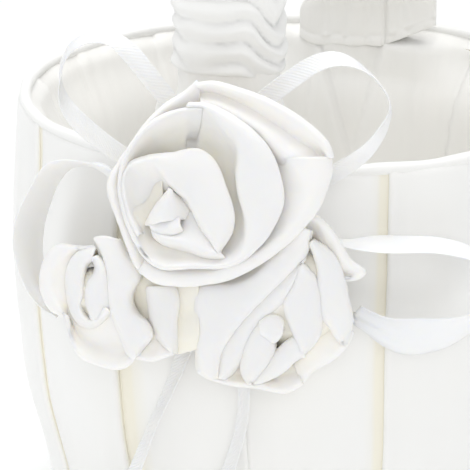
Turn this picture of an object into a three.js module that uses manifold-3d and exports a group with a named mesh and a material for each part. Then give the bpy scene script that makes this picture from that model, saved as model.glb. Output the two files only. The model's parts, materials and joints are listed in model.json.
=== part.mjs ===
// A flower girl basket: a round board bucket covered in pleated satin, with a satin lining, a tall
// hoop handle in a ruched satin sleeve, and three satin roses over two ribbon bows.
// Millimetres, +Z up. The origin is the centre of the underside. The hoop stands in the YZ plane,
// and the roses are at its front end, on the -Y side.

import * as THREE from "three";
import { mergeVertices } from "three/addons/utils/BufferGeometryUtils.js";
import Module from "manifold-3d";

const wasm = await Module();
wasm.setup();

// ---------------------------------------------------------------- driving dimensions

const BODY_H = 135; // floor to the top of the rim
const GAP = 0.3; // clearance between pieces that touch
const PLEATS = 14;
const PLEAT_DEPTH = 1.4; // how far the groove between two pleats goes in
const SKIRT_T = 2.6; // pleated satin, with the cloth that is folded under
const SKIRT_TOP = BODY_H - 5.6;
const BOARD_T = 2.3;
const BOARD_MAX_R = 79.7; // the board is straight above the taper, where the skirt stands off it
const BOARD_Z = 1.3;
const BASE_CLOTH_T = 1.0;
const BASE_BOARD_T = 2.5;

const RIM_TUBE_R = 2.5;
const RIM_R = 80.2; // centre of the padded rim
const LINING_T = 0.6;
const LINING_MAX_R = 71;
const LINING_TOP_R = RIM_R - RIM_TUBE_R - GAP;
const LINING_TOP = BODY_H - 3.5;
const FLARE_FROM = 112; // the lining leans out to the rim between these two heights
const FLARE_TO = 124;
const FLOOR_PAD_T = 4;

const HOOP_Y = 73.6; // the hoop's legs stand this far from the axis, inside the rim
const HOOP_T = 1.8;
const HOOP_W = 14;
const HOOP_FOOT = 95;
const HOOP_SHOULDER = 186; // the legs are straight up to here, and a half circle joins them
const SLEEVE_A = 15.5; // half width and half depth of the ruched sleeve
const SLEEVE_B = 8;
const SLEEVE_T = 0.8;
const CUFF_BOTTOM = 127.5;
const CUFF_TOP = 150;
const CUFF_T = 0.6;
const CUFF_A = 21.4;
const CUFF_B = 4.7;
const CUFF_Y = 71.6;
const RIVET_R = 1.5;
const RIVET_HEAD_R = 3.2;
const RIVET_HEAD_T = 0.9;
const RIVET_HEIGHTS = { lower: 100, upper: 109 };

const THIN_W = 5; // narrow satin ribbon
const WIDE_W = 16; // wide satin ribbon
const RIBBON_T = 0.5;

// ---------------------------------------------------------------- materials

const satin = (color, roughness = 0.45) =>
  new THREE.MeshStandardMaterial({ color, roughness, metalness: 0 });
const MATERIALS = {
  skirt: satin(0xf4f3ee),
  lining: satin(0xf3efe2),
  sleeve: satin(0xf2f2f0),
  rose: satin(0xf6f4ec),
  ribbon: satin(0xf3f3f6, 0.35),
  felt: satin(0xf0eee6, 0.95),
  board: satin(0xd8d2c4, 0.9),
  wadding: satin(0xf7f7f5, 1.0),
  hoop: satin(0xeeeeea, 0.4),
  rivet: new THREE.MeshStandardMaterial({ color: 0xc9c6bd, roughness: 0.3, metalness: 1 }),
};

const basket = new THREE.Group();

function add(name, geometry, material) {
  const mesh = new THREE.Mesh(geometry, material);
  mesh.name = name;
  basket.add(mesh);
  return mesh;
}

// ---------------------------------------------------------------- geometry helpers

const smooth = (t) => t * t * (3 - 2 * t);
const blend = (a, b, t) => a + (b - a) * t;
const ramp = (z, from, to) => smooth(Math.min(1, Math.max(0, (z - from) / (to - from))));
const onCircle = (radius, angle, z) =>
  new THREE.Vector3(radius * Math.sin(angle), -radius * Math.cos(angle), z);

// The closed solid between two surfaces, each a function of (u, v) from 0 to 1. A ring joins u = 1
// back to u = 0.
function shellBetween(outer, inner, uSteps, vSteps, ring = false) {
  const columns = ring ? uSteps : uSteps + 1;
  const rows = vSteps + 1;
  const positions = [];
  for (const surface of [outer, inner])
    for (let i = 0; i < columns; i++)
      for (let j = 0; j < rows; j++) positions.push(...surface(i / uSteps, j / vSteps).toArray());
  const at = (side, i, j) => (side * columns + (i % columns)) * rows + j;
  const faces = [];
  const quad = (a, b, c, d) => faces.push(a, b, c, a, c, d);
  for (let i = 0; i < uSteps; i++) {
    for (let j = 0; j < vSteps; j++) {
      quad(at(0, i, j), at(0, i + 1, j), at(0, i + 1, j + 1), at(0, i, j + 1));
      quad(at(1, i, j), at(1, i, j + 1), at(1, i + 1, j + 1), at(1, i + 1, j));
    }
    quad(at(0, i, 0), at(1, i, 0), at(1, i + 1, 0), at(0, i + 1, 0));
    quad(at(0, i, vSteps), at(0, i + 1, vSteps), at(1, i + 1, vSteps), at(1, i, vSteps));
  }
  if (!ring)
    for (let j = 0; j < vSteps; j++) {
      quad(at(0, 0, j), at(0, 0, j + 1), at(1, 0, j + 1), at(1, 0, j));
      quad(at(0, uSteps, j), at(1, uSteps, j), at(1, uSteps, j + 1), at(0, uSteps, j + 1));
    }
  return facingOut(positions, faces);
}

// Six times the volume that the triangles enclose: negative where they face in.
function signedVolume(positions, faces) {
  const p = faces.map((v) => new THREE.Vector3().fromArray(positions, v * 3));
  let volume = 0;
  for (let i = 0; i < p.length; i += 3) volume += p[i].dot(p[i + 1].clone().cross(p[i + 2]));
  return volume;
}

function facingOut(positions, faces) {
  const ordered = signedVolume(positions, faces) < 0 ? [...faces].reverse() : faces;
  const geometry = new THREE.BufferGeometry();
  geometry.setAttribute("position", new THREE.Float32BufferAttribute(positions, 3));
  geometry.setIndex(ordered);
  geometry.computeVertexNormals();
  return geometry;
}

// A cloth of even thickness on a surface (u, v).
function sheet(surface, thickness, uSteps, vSteps) {
  const step = 1e-3;
  const side = (sign) => (u, v) => {
    const u0 = Math.min(u, 1 - step);
    const v0 = Math.min(v, 1 - step);
    const p = surface(u0, v0);
    const alongU = surface(u0 + step, v0).sub(p);
    const alongV = surface(u0, v0 + step).sub(p);
    const normal = alongU.cross(alongV).normalize();
    return surface(u, v).addScaledVector(normal, (sign * thickness) / 2);
  };
  return shellBetween(side(1), side(-1), uSteps, vSteps);
}

// A plain disc or ring about the Z axis from (radius, height) corners, counterclockwise.
function turned(corners, segments = 40) {
  const profile = corners.map(([r, z]) => new THREE.Vector2(r, z));
  return new THREE.LatheGeometry(profile, segments).rotateX(Math.PI / 2);
}

function disc(radius, bottom, thickness, segments) {
  const top = bottom + thickness;
  return turned([[0, bottom], [radius, bottom], [radius, top], [0, top]], segments);
}

function solidOf(geometry) {
  const bare = new THREE.BufferGeometry();
  bare.setAttribute("position", geometry.getAttribute("position"));
  if (geometry.index) bare.setIndex(geometry.index);
  const merged = mergeVertices(bare, 1e-3);
  return new wasm.Manifold(
    new wasm.Mesh({
      numProp: 3,
      vertProperties: merged.attributes.position.array,
      triVerts: new Uint32Array(merged.index.array),
    }),
  );
}

function geometryOf(solid) {
  const mesh = solid.getMesh();
  const geometry = new THREE.BufferGeometry();
  geometry.setAttribute("position", new THREE.BufferAttribute(mesh.vertProperties, 3));
  geometry.setIndex(new THREE.BufferAttribute(mesh.triVerts, 1));
  geometry.computeVertexNormals();
  return geometry;
}

function cut(geometry, ...tools) {
  return geometryOf(tools.reduce((left, tool) => left.subtract(solidOf(tool)), solidOf(geometry)));
}

// ---------------------------------------------------------------- the bucket

// The outside of the skirt: widest a little above half height, and drawn in at the foot.
const SKIRT_CURVE = new THREE.SplineCurve(
  [
    [72, 0],
    [74.8, 16],
    [78.9, 39],
    [83, 61],
    [84.7, 86],
    [84, 108],
    [82.6, BODY_H],
  ].map(([r, z]) => new THREE.Vector2(r, z)),
);

// The spline's points have nearly even heights, so a short search finds the one at height z.
function skirtRadius(z) {
  let low = 0;
  let high = 1;
  for (let i = 0; i < 24; i++) {
    const middle = (low + high) / 2;
    if (SKIRT_CURVE.getPoint(middle).y < z) low = middle;
    else high = middle;
  }
  return SKIRT_CURVE.getPoint(low).x;
}

const BEND_HEIGHTS = [16, 39, 61, 86];
const skirtInside = (z) => skirtRadius(z) - SKIRT_T;
const boardOutside = (z) => Math.min(skirtInside(z) - GAP, BOARD_MAX_R);
const boardInside = (z) => boardOutside(z) - BOARD_T;
const liningOutside = (z) =>
  blend(Math.min(boardInside(z) - 2 * GAP, LINING_MAX_R), LINING_TOP_R, ramp(z, FLARE_FROM, FLARE_TO));

// A thin wall round the axis between two radii that change with height, with a row at each height.
function wall(outside, inside, heights, segments = 40) {
  const rows = heights.length - 1;
  const surface = (radius) => (u, v) => {
    const z = heights[Math.round(v * rows)];
    return onCircle(radius(z, u), 2 * Math.PI * u, z);
  };
  return shellBetween(surface(outside), surface(inside), segments, rows, true);
}

// Each pleat is a flat-topped panel between two narrow grooves.
function makeSkirt() {
  const groove = [1, 0, 0, 0];
  const pointsPerPleat = groove.length;
  const outside = (z, u) => {
    const place = Math.round(u * PLEATS * pointsPerPleat) % pointsPerPleat;
    return skirtRadius(z) - PLEAT_DEPTH * groove[place];
  };
  return wall(outside, skirtInside, [0, ...BEND_HEIGHTS, SKIRT_TOP], PLEATS * pointsPerPleat);
}

function makeRivet(height, side) {
  const innerHead = HOOP_Y - HOOP_T / 2 - GAP - RIVET_HEAD_T;
  const outerHead = BOARD_MAX_R + GAP;
  const tip = outerHead + RIVET_HEAD_T;
  return turned(
    [
      [0, innerHead],
      [RIVET_HEAD_R, innerHead],
      [RIVET_HEAD_R, innerHead + RIVET_HEAD_T],
      [RIVET_R, innerHead + RIVET_HEAD_T],
      [RIVET_R, outerHead],
      [RIVET_HEAD_R, outerHead],
      [RIVET_HEAD_R, tip],
      [0, tip],
    ],
    10,
  )
    .rotateX((-side * Math.PI) / 2)
    .translate(0, 0, height);
}

// What is drilled out of the board and the hoop for one rivet's shank.
function rivetHole(height, side) {
  const through = 14;
  return new THREE.CylinderGeometry(RIVET_R + GAP, RIVET_R + GAP, through, 10).translate(
    0,
    side * HOOP_Y + side * 3,
    height,
  );
}

const SIDES = { front: -1, back: 1 };
const rivetPlaces = Object.entries(SIDES).flatMap(([end, side]) =>
  Object.entries(RIVET_HEIGHTS).map(([level, height]) => ({ end, side, level, height })),
);
const rivetHoles = () => rivetPlaces.map(({ height, side }) => rivetHole(height, side));

function makeBucket() {
  add("base_cloth", disc(skirtInside(0) - GAP, 0, BASE_CLOTH_T), MATERIALS.felt);
  add("base_board", disc(boardInside(BOARD_Z) - GAP, BOARD_Z, BASE_BOARD_T), MATERIALS.board);
  const board = wall(boardOutside, boardInside, [BOARD_Z, ...BEND_HEIGHTS, SKIRT_TOP]);
  add("wall_board", cut(board, ...rivetHoles()), MATERIALS.board);
  add("pleated_skirt", makeSkirt(), MATERIALS.skirt);
  const rim = new THREE.TorusGeometry(RIM_R, RIM_TUBE_R, 6, 40);
  add("rim_piping", rim.translate(0, 0, BODY_H - RIM_TUBE_R), MATERIALS.skirt);
}

// The lining has a slit at each end of the hoop, where the leg goes down behind it.
function makeLining() {
  const bottom = BOARD_Z + BASE_BOARD_T + GAP;
  const inside = (z) => liningOutside(z) - LINING_T;
  const flare = [FLARE_FROM, FLARE_FROM + 4, FLARE_TO - 4, FLARE_TO];
  const lining = wall(liningOutside, inside, [bottom, 16, 39, 61, ...flare, LINING_TOP]);
  const slits = Object.values(SIDES).map((side) =>
    new THREE.BoxGeometry(HOOP_W + 4 * GAP, 7, 20).translate(0, side * (HOOP_Y - 1), FLARE_FROM),
  );
  add("lining_wall", cut(lining, ...slits), MATERIALS.lining);
  const radius = inside(bottom) - GAP;
  const crown = 1.5;
  const pad = turned([
    [0, bottom],
    [radius, bottom],
    [radius, bottom + FLOOR_PAD_T - crown],
    [radius * 0.8, bottom + FLOOR_PAD_T],
    [0, bottom + FLOOR_PAD_T],
  ]);
  add("lining_floor_pad", pad, MATERIALS.lining);
}

// ---------------------------------------------------------------- the handle

// The hoop's middle line: up the front leg, over the half circle and down the back leg.
class HoopCurve extends THREE.Curve {
  constructor(foot) {
    super();
    this.leg = HOOP_SHOULDER - foot;
    this.foot = foot;
    this.arch = Math.PI * HOOP_Y;
  }

  getPoint(t, target = new THREE.Vector3()) {
    const s = t * (2 * this.leg + this.arch);
    if (s < this.leg) return target.set(0, -HOOP_Y, this.foot + s);
    const turn = Math.min((s - this.leg) / HOOP_Y, Math.PI);
    const down = Math.max(0, s - this.leg - this.arch);
    const z = HOOP_SHOULDER + HOOP_Y * Math.sin(turn) - down;
    return target.set(0, -HOOP_Y * Math.cos(turn), z);
  }
}

// A point of an oval with square shoulders, at the angle given.
function ovalPoint(halfWidth, halfDepth, angle) {
  const squareness = 0.7;
  const power = (x) => Math.sign(x) * Math.abs(x) ** squareness;
  return [halfWidth * power(Math.cos(angle)), halfDepth * power(Math.sin(angle))];
}

// An oval tube along the hoop, above the cuffs. The oval lies across the hoop's own direction.
function alongHoop(halfWidth, halfDepth, foot) {
  const curve = new HoopCurve(foot);
  return (u, v) => {
    const [x, depth] = ovalPoint(halfWidth, halfDepth, 2 * Math.PI * u);
    const tangent = curve.getTangent(v);
    const away = new THREE.Vector3(0, -tangent.z, tangent.y);
    return curve.getPoint(v).addScaledVector(away, depth).setX(x);
  };
}

function makeHoop() {
  const half = HOOP_T / 2;
  const outline = new THREE.Shape();
  outline.moveTo(-HOOP_Y - half, HOOP_FOOT);
  outline.lineTo(-HOOP_Y - half, HOOP_SHOULDER);
  outline.absarc(0, HOOP_SHOULDER, HOOP_Y + half, Math.PI, 0, true);
  outline.lineTo(HOOP_Y + half, HOOP_FOOT);
  outline.lineTo(HOOP_Y - half, HOOP_FOOT);
  outline.absarc(0, HOOP_SHOULDER, HOOP_Y - half, 0, Math.PI, false);
  outline.lineTo(-HOOP_Y + half, HOOP_FOOT);
  // The outline is drawn in (Y, Z) and pushed along X.
  const toRow = new THREE.Matrix4().makeBasis(
    new THREE.Vector3(0, 1, 0),
    new THREE.Vector3(0, 0, 1),
    new THREE.Vector3(1, 0, 0),
  );
  return new THREE.ExtrudeGeometry(outline, { depth: HOOP_W, bevelEnabled: false, curveSegments: 16 })
    .applyMatrix4(toRow)
    .translate(-HOOP_W / 2, 0, 0);
}

// The sleeve's spread hem. At the rim it is wide and lies along the curve of the wall, and it closes
// to the sleeve's own oval above.
function makeCuff(side) {
  const surface = (inset) => (u, v) => {
    const z = blend(CUFF_BOTTOM, CUFF_TOP - GAP, v);
    const t = ramp(z, BODY_H + 2, CUFF_TOP);
    const halfWidth = blend(CUFF_A, SLEEVE_A, t) - inset;
    const halfDepth = blend(CUFF_B, SLEEVE_B, t) - inset;
    const [x, depth] = ovalPoint(halfWidth, halfDepth, 2 * Math.PI * u);
    const lean = (x * x) / (2 * RIM_R);
    const y = blend(CUFF_Y, HOOP_Y, t) + depth - blend(lean, 0, t);
    return new THREE.Vector3(x, side * y, z);
  };
  return shellBetween(surface(0), surface(CUFF_T), 16, 4, true);
}

function makeHandle() {
  add("handle_hoop", cut(makeHoop(), ...rivetHoles()), MATERIALS.hoop);
  for (const { end, side, level, height } of rivetPlaces)
    add(`handle_rivet_${end}_${level}`, makeRivet(height, side), MATERIALS.rivet);
  const inset = SLEEVE_T + GAP;
  const wadding = shellBetween(
    alongHoop(SLEEVE_A - inset, SLEEVE_B - inset, CUFF_TOP + 1),
    alongHoop(HOOP_W / 2 + 1.6, HOOP_T / 2 + 0.9, CUFF_TOP + 1),
    12,
    20,
    true,
  );
  add("handle_wadding", wadding, MATERIALS.wadding);
  const sleeve = shellBetween(
    alongHoop(SLEEVE_A, SLEEVE_B, CUFF_TOP),
    alongHoop(SLEEVE_A - SLEEVE_T, SLEEVE_B - SLEEVE_T, CUFF_TOP),
    12,
    20,
    true,
  );
  add("handle_sleeve", sleeve, MATERIALS.sleeve);
  for (const [end, side] of Object.entries(SIDES))
    add(`handle_cuff_${end}`, makeCuff(side), MATERIALS.sleeve);
}

// ---------------------------------------------------------------- the roses

// Where each rose's felt base is, which way it faces, how wide its petals open and stand on the base,
// how high the bud and the outermost petal stand, and how far the eye of the rose is off its middle.
// Each petal covers an arc, in degrees counterclockwise from the rose's right, from the bud outwards.
const ROSES = {
  large: {
    at: [4.8, -90, 133],
    azimuth: 4,
    elevation: 8,
    open: 28.5,
    base: 12,
    height: { bud: 17, outermost: 13 },
    eye: [-9, -6],
    petals: [
      { from: -60, span: 230 },
      { from: 190, span: 110 },
      { from: 95, span: 150 },
      { from: 200, span: 160 },
      { from: -70, span: 165 },
      { from: 80, span: 150 },
      { from: -40, span: 130 },
      { from: 200, span: 125 },
    ],
  },
  left: {
    at: [-28.5, -86, 97.8],
    azimuth: -20,
    elevation: 2,
    open: 18.8,
    base: 8,
    height: { bud: 13, outermost: 10.5 },
    eye: [-4, 1],
    petals: [
      { from: 60, span: 250 },
      { from: -85, span: 170 },
      { from: 100, span: 150 },
      { from: 215, span: 125 },
      { from: -60, span: 115 },
    ],
  },
  right: {
    at: [19.5, -88.6, 98.3],
    azimuth: 12,
    elevation: -4,
    open: 20.5,
    base: 10.5,
    height: { bud: 11.5, outermost: 9 },
    eye: [1, -4],
    petals: [
      { from: 120, span: 130 },
      { from: -100, span: 110 },
      { from: -50, span: 110 },
      { from: 120, span: 135 },
      { from: -45, span: 105 },
      { from: 135, span: 120 },
      { from: 230, span: 100 },
      { from: 0, span: 65 },
    ],
  },
};
const ROSE_BASE_T = 1.2;
const PETAL_T = 0.7;
const BUD_FOOT_R = 2;
const BUD_LIP_R = 2.6;

// Turns +Z to the direction that a rose faces, and moves it to its place.
function facing(geometry, { at, azimuth, elevation }) {
  const a = THREE.MathUtils.degToRad(azimuth);
  const e = THREE.MathUtils.degToRad(elevation);
  const out = new THREE.Vector3(Math.sin(a) * Math.cos(e), -Math.cos(a) * Math.cos(e), Math.sin(e));
  const right = new THREE.Vector3(Math.cos(a), Math.sin(a), 0);
  const up = out.clone().cross(right);
  return geometry.applyMatrix4(new THREE.Matrix4().makeBasis(right, up, out).setPosition(...at));
}

// A petal stands on the base round the petals inside it, and flares to its lip. At place 0 it would
// be the bud's own skin, and at place 1 it is the outermost petal.
function makePetal({ open, base, height, eye }, { from, span }, place) {
  const foot = blend(BUD_FOOT_R, base, place);
  const lip = blend(BUD_LIP_R, open, place);
  const surface = (u, v) => {
    const angle = THREE.MathUtils.degToRad(from + span * u);
    const radius = blend(foot, lip, v ** 1.6);
    const shift = (1 - place) * v;
    const z = ROSE_BASE_T / 2 + GAP + v * blend(height.bud, height.outermost, place);
    return new THREE.Vector3(
      eye[0] * shift + radius * Math.cos(angle),
      eye[1] * shift + radius * Math.sin(angle),
      z,
    );
  };
  return sheet(surface, PETAL_T, Math.ceil(span / 24), 2);
}

// The bud is a tight cone of folded satin, which leans towards the eye of the rose.
function makeBud({ height, eye }) {
  const bottom = ROSE_BASE_T / 2 + GAP;
  const bud = new THREE.CylinderGeometry(BUD_LIP_R / 2, BUD_FOOT_R / 2, height.bud, 8);
  bud.rotateX(Math.PI / 2).translate(0, 0, bottom + height.bud / 2);
  const lean = new THREE.Matrix4().makeShear(0, 0, 0, 0, eye[0] / height.bud, eye[1] / height.bud);
  return bud.applyMatrix4(lean);
}

function makeRoses() {
  for (const [name, rose] of Object.entries(ROSES)) {
    const felt = disc(rose.base + 1, -ROSE_BASE_T / 2, ROSE_BASE_T, 24);
    add(`rose_${name}_base`, facing(felt, rose), MATERIALS.felt);
    add(`rose_${name}_bud`, facing(makeBud(rose), rose), MATERIALS.rose);
    rose.petals.forEach((petal, i) => {
      const geometry = makePetal(rose, petal, (i + 1) / rose.petals.length);
      add(`rose_${name}_petal_${i + 1}`, facing(geometry, rose), MATERIALS.rose);
    });
  }
  const backing = new THREE.CylinderGeometry(16, 16, 1, 32).translate(-1, -85.8, 112);
  add("flower_backing", backing, MATERIALS.felt);
}

// ---------------------------------------------------------------- the ribbons

// A flat ribbon through the places given. Each place has a point and the direction of the ribbon's
// width there, so the ribbon turns over as it goes.
function makeRibbon(places, width, steps) {
  const line = new THREE.CatmullRomCurve3(places.map(([p]) => new THREE.Vector3(...p)), false, "centripetal");
  const across = new THREE.CatmullRomCurve3(places.map(([, w]) => new THREE.Vector3(...w).normalize()));
  const surface = (u, v) => {
    const tangent = line.getTangent(u);
    const direction = across.getPoint(u);
    direction.addScaledVector(tangent, -direction.dot(tangent)).normalize();
    return line.getPoint(u).addScaledVector(direction, (v - 0.5) * width);
  };
  return sheet(surface, RIBBON_T, steps, 1);
}

const THIN_RIBBONS = {
  thin_bow_loop_left: [
    [[-5, -87.6, 144], [0.9, 0, 0.45]],
    [[-11, -90.5, 153], [0.85, 0.2, 0.5]],
    [[-17.5, -92.5, 162], [0.7, 0.3, 0.6]],
    [[-26, -93, 169.5], [0.2, 0.9, 0.4]],
    [[-36, -92, 167.5], [-0.3, 0.9, 0.3]],
    [[-41, -91, 159.5], [-0.6, 0.8, 0]],
    [[-39.5, -92, 151], [0.1, 0.9, 0.3]],
    [[-31, -92.5, 142.5], [0.55, 0.35, 0.75]],
    [[-21, -91.5, 136], [0.5, 0.2, 0.85]],
    [[-11.5, -89, 131], [0.4, 0, 0.9]],
  ],
  thin_bow_loop_right: [
    [[7, -87.6, 148], [-0.75, 0, 0.65]],
    [[14.5, -90, 155.5], [-0.7, 0.1, 0.7]],
    [[24, -92, 163.5], [-0.45, 0.3, 0.85]],
    [[34, -93, 168.8], [0, 0.9, 0.45]],
    [[43, -92, 165.5], [0.5, 0.85, 0.1]],
    [[48, -91, 157.5], [0.35, 0.9, 0]],
    [[45.5, -91, 149], [0.6, 0.75, -0.1]],
    [[38.5, -90.5, 141], [0.7, 0.45, -0.55]],
    [[29, -89.6, 135], [0.5, 0.1, -0.85]],
    [[20, -89, 131], [0.4, 0, -0.9]],
  ],
  thin_bow_tail_left: [
    [[-5, -87.3, 104], [0.95, 0, 0.3]],
    [[-6.5, -87.6, 90], [0.95, 0.1, 0.25]],
    [[-10, -87, 78], [0.9, 0.3, 0.3]],
    [[-15, -86.8, 66], [0.8, 0.5, 0.3]],
    [[-20.5, -85.5, 53], [0.75, 0.6, 0.3]],
    [[-25.5, -82.5, 40], [0.85, 0.4, 0.3]],
    [[-29.5, -79.5, 27], [0.9, 0.3, 0.25]],
    [[-31, -77.5, 15], [0.95, 0.3, 0.1]],
  ],
  thin_bow_tail_right: [
    [[5, -87.3, 104], [0.95, 0, 0.1]],
    [[8, -87.6, 90], [0.95, 0.1, 0]],
    [[8.6, -87.2, 78], [0.9, 0.3, 0]],
    [[8.2, -86.6, 66], [0.8, 0.55, 0.1]],
    [[5.2, -86, 53.5], [0.75, 0.6, 0.25]],
    [[1, -84, 41], [0.85, 0.4, 0.3]],
    [[-2.5, -81.5, 29], [0.95, 0.2, 0.2]],
    [[-3.5, -80, 19], [1, 0.1, 0.1]],
  ],
};

const WIDE_RIBBONS = {
  wide_bow_loop_left: [
    [[-19, -88.4, 119], [0.2, 0, 1]],
    [[-24, -88, 126.5], [0, -0.5, 0.85]],
    [[-33, -86, 132.5], [-0.25, -0.9, 0.3]],
    [[-44, -83.5, 132], [-0.4, -0.9, 0]],
    [[-53, -81, 123.5], [-0.45, -0.9, 0]],
    [[-56.5, -80, 111.5], [-0.45, -0.9, 0]],
    [[-55, -80.5, 99], [-0.45, -0.9, 0]],
    [[-50.5, -81.5, 90.5], [-0.4, -0.9, 0.1]],
    [[-45.5, -82.5, 87.5], [-0.3, -0.85, 0.4]],
  ],
  wide_bow_loop_right: [
    [[21, -87.6, 117.5], [0, -0.3, 0.95]],
    [[32, -87, 118.2], [0.2, -0.9, 0.35]],
    [[45, -83, 118], [0.35, -0.93, 0.05]],
    [[58, -76.5, 117], [0.5, -0.86, 0]],
    [[69, -70, 112], [0.55, -0.83, 0]],
    [[72.5, -68, 103], [0.55, -0.83, 0]],
    [[67, -72, 93.5], [0.5, -0.86, 0]],
    [[56.5, -77.5, 89.5], [0.4, -0.9, 0.1]],
    [[46, -83, 92.5], [0.3, -0.9, 0.3]],
    [[40.5, -85.5, 96.5], [0.1, -0.7, 0.7]],
  ],
};

function makeRibbons() {
  for (const [name, places] of Object.entries(THIN_RIBBONS))
    add(name, makeRibbon(places, THIN_W, 3 * (places.length - 1)), MATERIALS.ribbon);
  for (const [name, places] of Object.entries(WIDE_RIBBONS))
    add(name, makeRibbon(places, WIDE_W, 4 * (places.length - 1)), MATERIALS.ribbon);
}

makeBucket();
makeLining();
makeHandle();
makeRoses();
makeRibbons();

export default basket;
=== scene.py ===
import json
import math

import bpy
import numpy as np
from mathutils import Matrix, Vector, noise


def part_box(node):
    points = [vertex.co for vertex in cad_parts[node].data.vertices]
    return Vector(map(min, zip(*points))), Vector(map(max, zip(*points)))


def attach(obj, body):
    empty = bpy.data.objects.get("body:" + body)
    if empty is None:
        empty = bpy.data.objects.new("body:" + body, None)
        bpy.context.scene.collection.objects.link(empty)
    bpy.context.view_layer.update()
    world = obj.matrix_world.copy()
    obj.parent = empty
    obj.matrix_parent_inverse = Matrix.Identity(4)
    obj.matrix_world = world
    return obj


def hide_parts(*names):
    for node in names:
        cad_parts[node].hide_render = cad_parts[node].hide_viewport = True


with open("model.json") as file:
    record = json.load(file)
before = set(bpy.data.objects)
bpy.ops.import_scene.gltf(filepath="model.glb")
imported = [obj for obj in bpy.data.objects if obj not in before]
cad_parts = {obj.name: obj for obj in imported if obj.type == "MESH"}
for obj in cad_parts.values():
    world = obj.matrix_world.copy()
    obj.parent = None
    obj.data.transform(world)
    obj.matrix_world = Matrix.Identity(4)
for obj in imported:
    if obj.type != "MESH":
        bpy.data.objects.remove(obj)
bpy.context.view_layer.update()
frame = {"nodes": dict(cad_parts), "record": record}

# The basket's looks, built round the CAD frame. Sizes are in millimetres, and angles round the basket
# are in degrees from the front (-Y) towards +X, unless a comment says otherwise.

MM = 0.001
BODY = "root"


def low(node):
    """The least x, y and z of a piece of the frame."""
    return np.array(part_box(node)[0]) / MM


def high(node):
    """The greatest x, y and z of a piece of the frame."""
    return np.array(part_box(node)[1]) / MM


RIM_Z = high("rim_piping")[2] + 0.3
RIM_OUT = high("rim_piping")[0]
SLEEVE_TOP = high("handle_sleeve")[2]
SLEEVE_OUT = high("handle_sleeve")[1]
SLEEVE_HALF_W = high("handle_sleeve")[0]
CUFF_LOW = low("handle_cuff_back")[2]
FLOOR_TOP = high("lining_floor_pad")[2]

# ---------------------------------------------------------------- curves and surfaces

FINE = 600  # the points a curve is measured with
STEP = 0.55  # the distance between two points along a ribbon or a petal
EDGE_OUT, EDGE_THIN = 0.4, 0.45  # a cloth's rounded edge, as parts of its thickness


def smooth(x, a, b):
    """0 below a, 1 above b, and a soft step between them."""
    t = np.clip((np.asarray(x, float) - a) / (b - a), 0, 1)
    return t * t * (3 - 2 * t)


def natural_cubic(t, y, at):
    """The natural cubic spline through the rows of y at the places t, read at other places."""
    n, h = len(t), np.diff(t)
    if n == 2:
        w = ((at - t[0]) / h[0])[:, None]
        return y[0] * (1 - w) + y[1] * w
    a, b = np.eye(n), np.zeros_like(y)
    for i in range(1, n - 1):
        a[i, i - 1 : i + 2] = h[i - 1], 2 * (h[i - 1] + h[i]), h[i]
        b[i] = 6 * ((y[i + 1] - y[i]) / h[i] - (y[i] - y[i - 1]) / h[i - 1])
    m = np.linalg.solve(a, b)
    k = np.clip(np.searchsorted(t, at, side="right") - 1, 0, n - 2)
    hk = h[k][:, None]
    p, q = (t[k + 1] - at)[:, None], (at - t[k])[:, None]
    bent = (m[k] * p**3 + m[k + 1] * q**3) / (6 * hk)
    return bent + (y[k] / hk - m[k] * hk / 6) * p + (y[k + 1] / hk - m[k + 1] * hk / 6) * q


def chords(points):
    """How far along a line of points each one is."""
    return np.concatenate([[0], np.cumsum(np.linalg.norm(np.diff(points, axis=0), axis=1))])


def curve(points, count, closed=False):
    """count points evenly spaced on a smooth curve through the points given."""
    pts = np.asarray(points, float)
    if closed:
        around = np.vstack([pts, pts, pts, pts[:1]])
        t = chords(around)
        fine = natural_cubic(t, around, np.linspace(t[len(pts)], t[2 * len(pts)], FINE))
    else:
        t = chords(pts)
        fine = natural_cubic(t, pts, np.linspace(0, t[-1], FINE))
    s = chords(fine)
    at = np.linspace(0, s[-1], count + closed)[:count]
    return np.stack([np.interp(at, s, fine[:, k]) for k in range(3)], axis=1)


def loft(rows, along, across, closed=False):
    """A grid (across, along, 3) through the rows, each a short list of points."""
    lines = np.stack([curve(r, along, closed) for r in rows])
    steps = np.linalg.norm(np.diff(lines, axis=0), axis=2).mean(axis=1)
    t = np.concatenate([[0], np.cumsum(np.maximum(steps, 1e-3))])
    at = np.linspace(0, t[-1], across)
    flat = lines.reshape(len(rows), -1)
    return natural_cubic(t, flat, at).reshape(across, along, 3)


def normals(grid, wrap=False):
    """The unit normal at each point of a grid whose rows may close on themselves."""
    if wrap:
        du = np.roll(grid, -1, axis=1) - np.roll(grid, 1, axis=1)
    else:
        du = np.gradient(grid, axis=1)
    dv = np.gradient(grid, axis=0)
    n = np.cross(du, dv)
    return n / np.maximum(np.linalg.norm(n, axis=2, keepdims=True), 1e-9)


def noise_at(points, size, seed=0.0):
    """Smooth noise from -1 to 1 at each point, with lumps about size apart."""
    flat = np.asarray(points, float).reshape(-1, 3) / size + seed
    values = [noise.noise(Vector(p)) for p in flat]
    return np.array(values).reshape(np.asarray(points).shape[:-1])


def noise_along(x, y, z):
    """Smooth noise along a row of places, whose coordinates are each a number or a row of numbers."""
    places = np.stack(np.broadcast_arrays(x, y, z), axis=-1)
    return np.array([noise.noise(Vector(p)) for p in places])


def lengths(grid, wrap):
    """How long the cloth of a grid is along its rows and across them, in millimetres, point by point."""
    closed = np.concatenate([grid, grid[:, :1]], axis=1) if wrap else grid
    along = np.linalg.norm(np.diff(closed, axis=1), axis=2)
    along = np.concatenate([np.zeros((len(grid), 1)), np.cumsum(along, axis=1)], axis=1)
    across = np.linalg.norm(np.diff(closed, axis=0), axis=2)
    across = np.concatenate([np.zeros((1, closed.shape[1])), np.cumsum(across, axis=0)])
    return along, across


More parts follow.
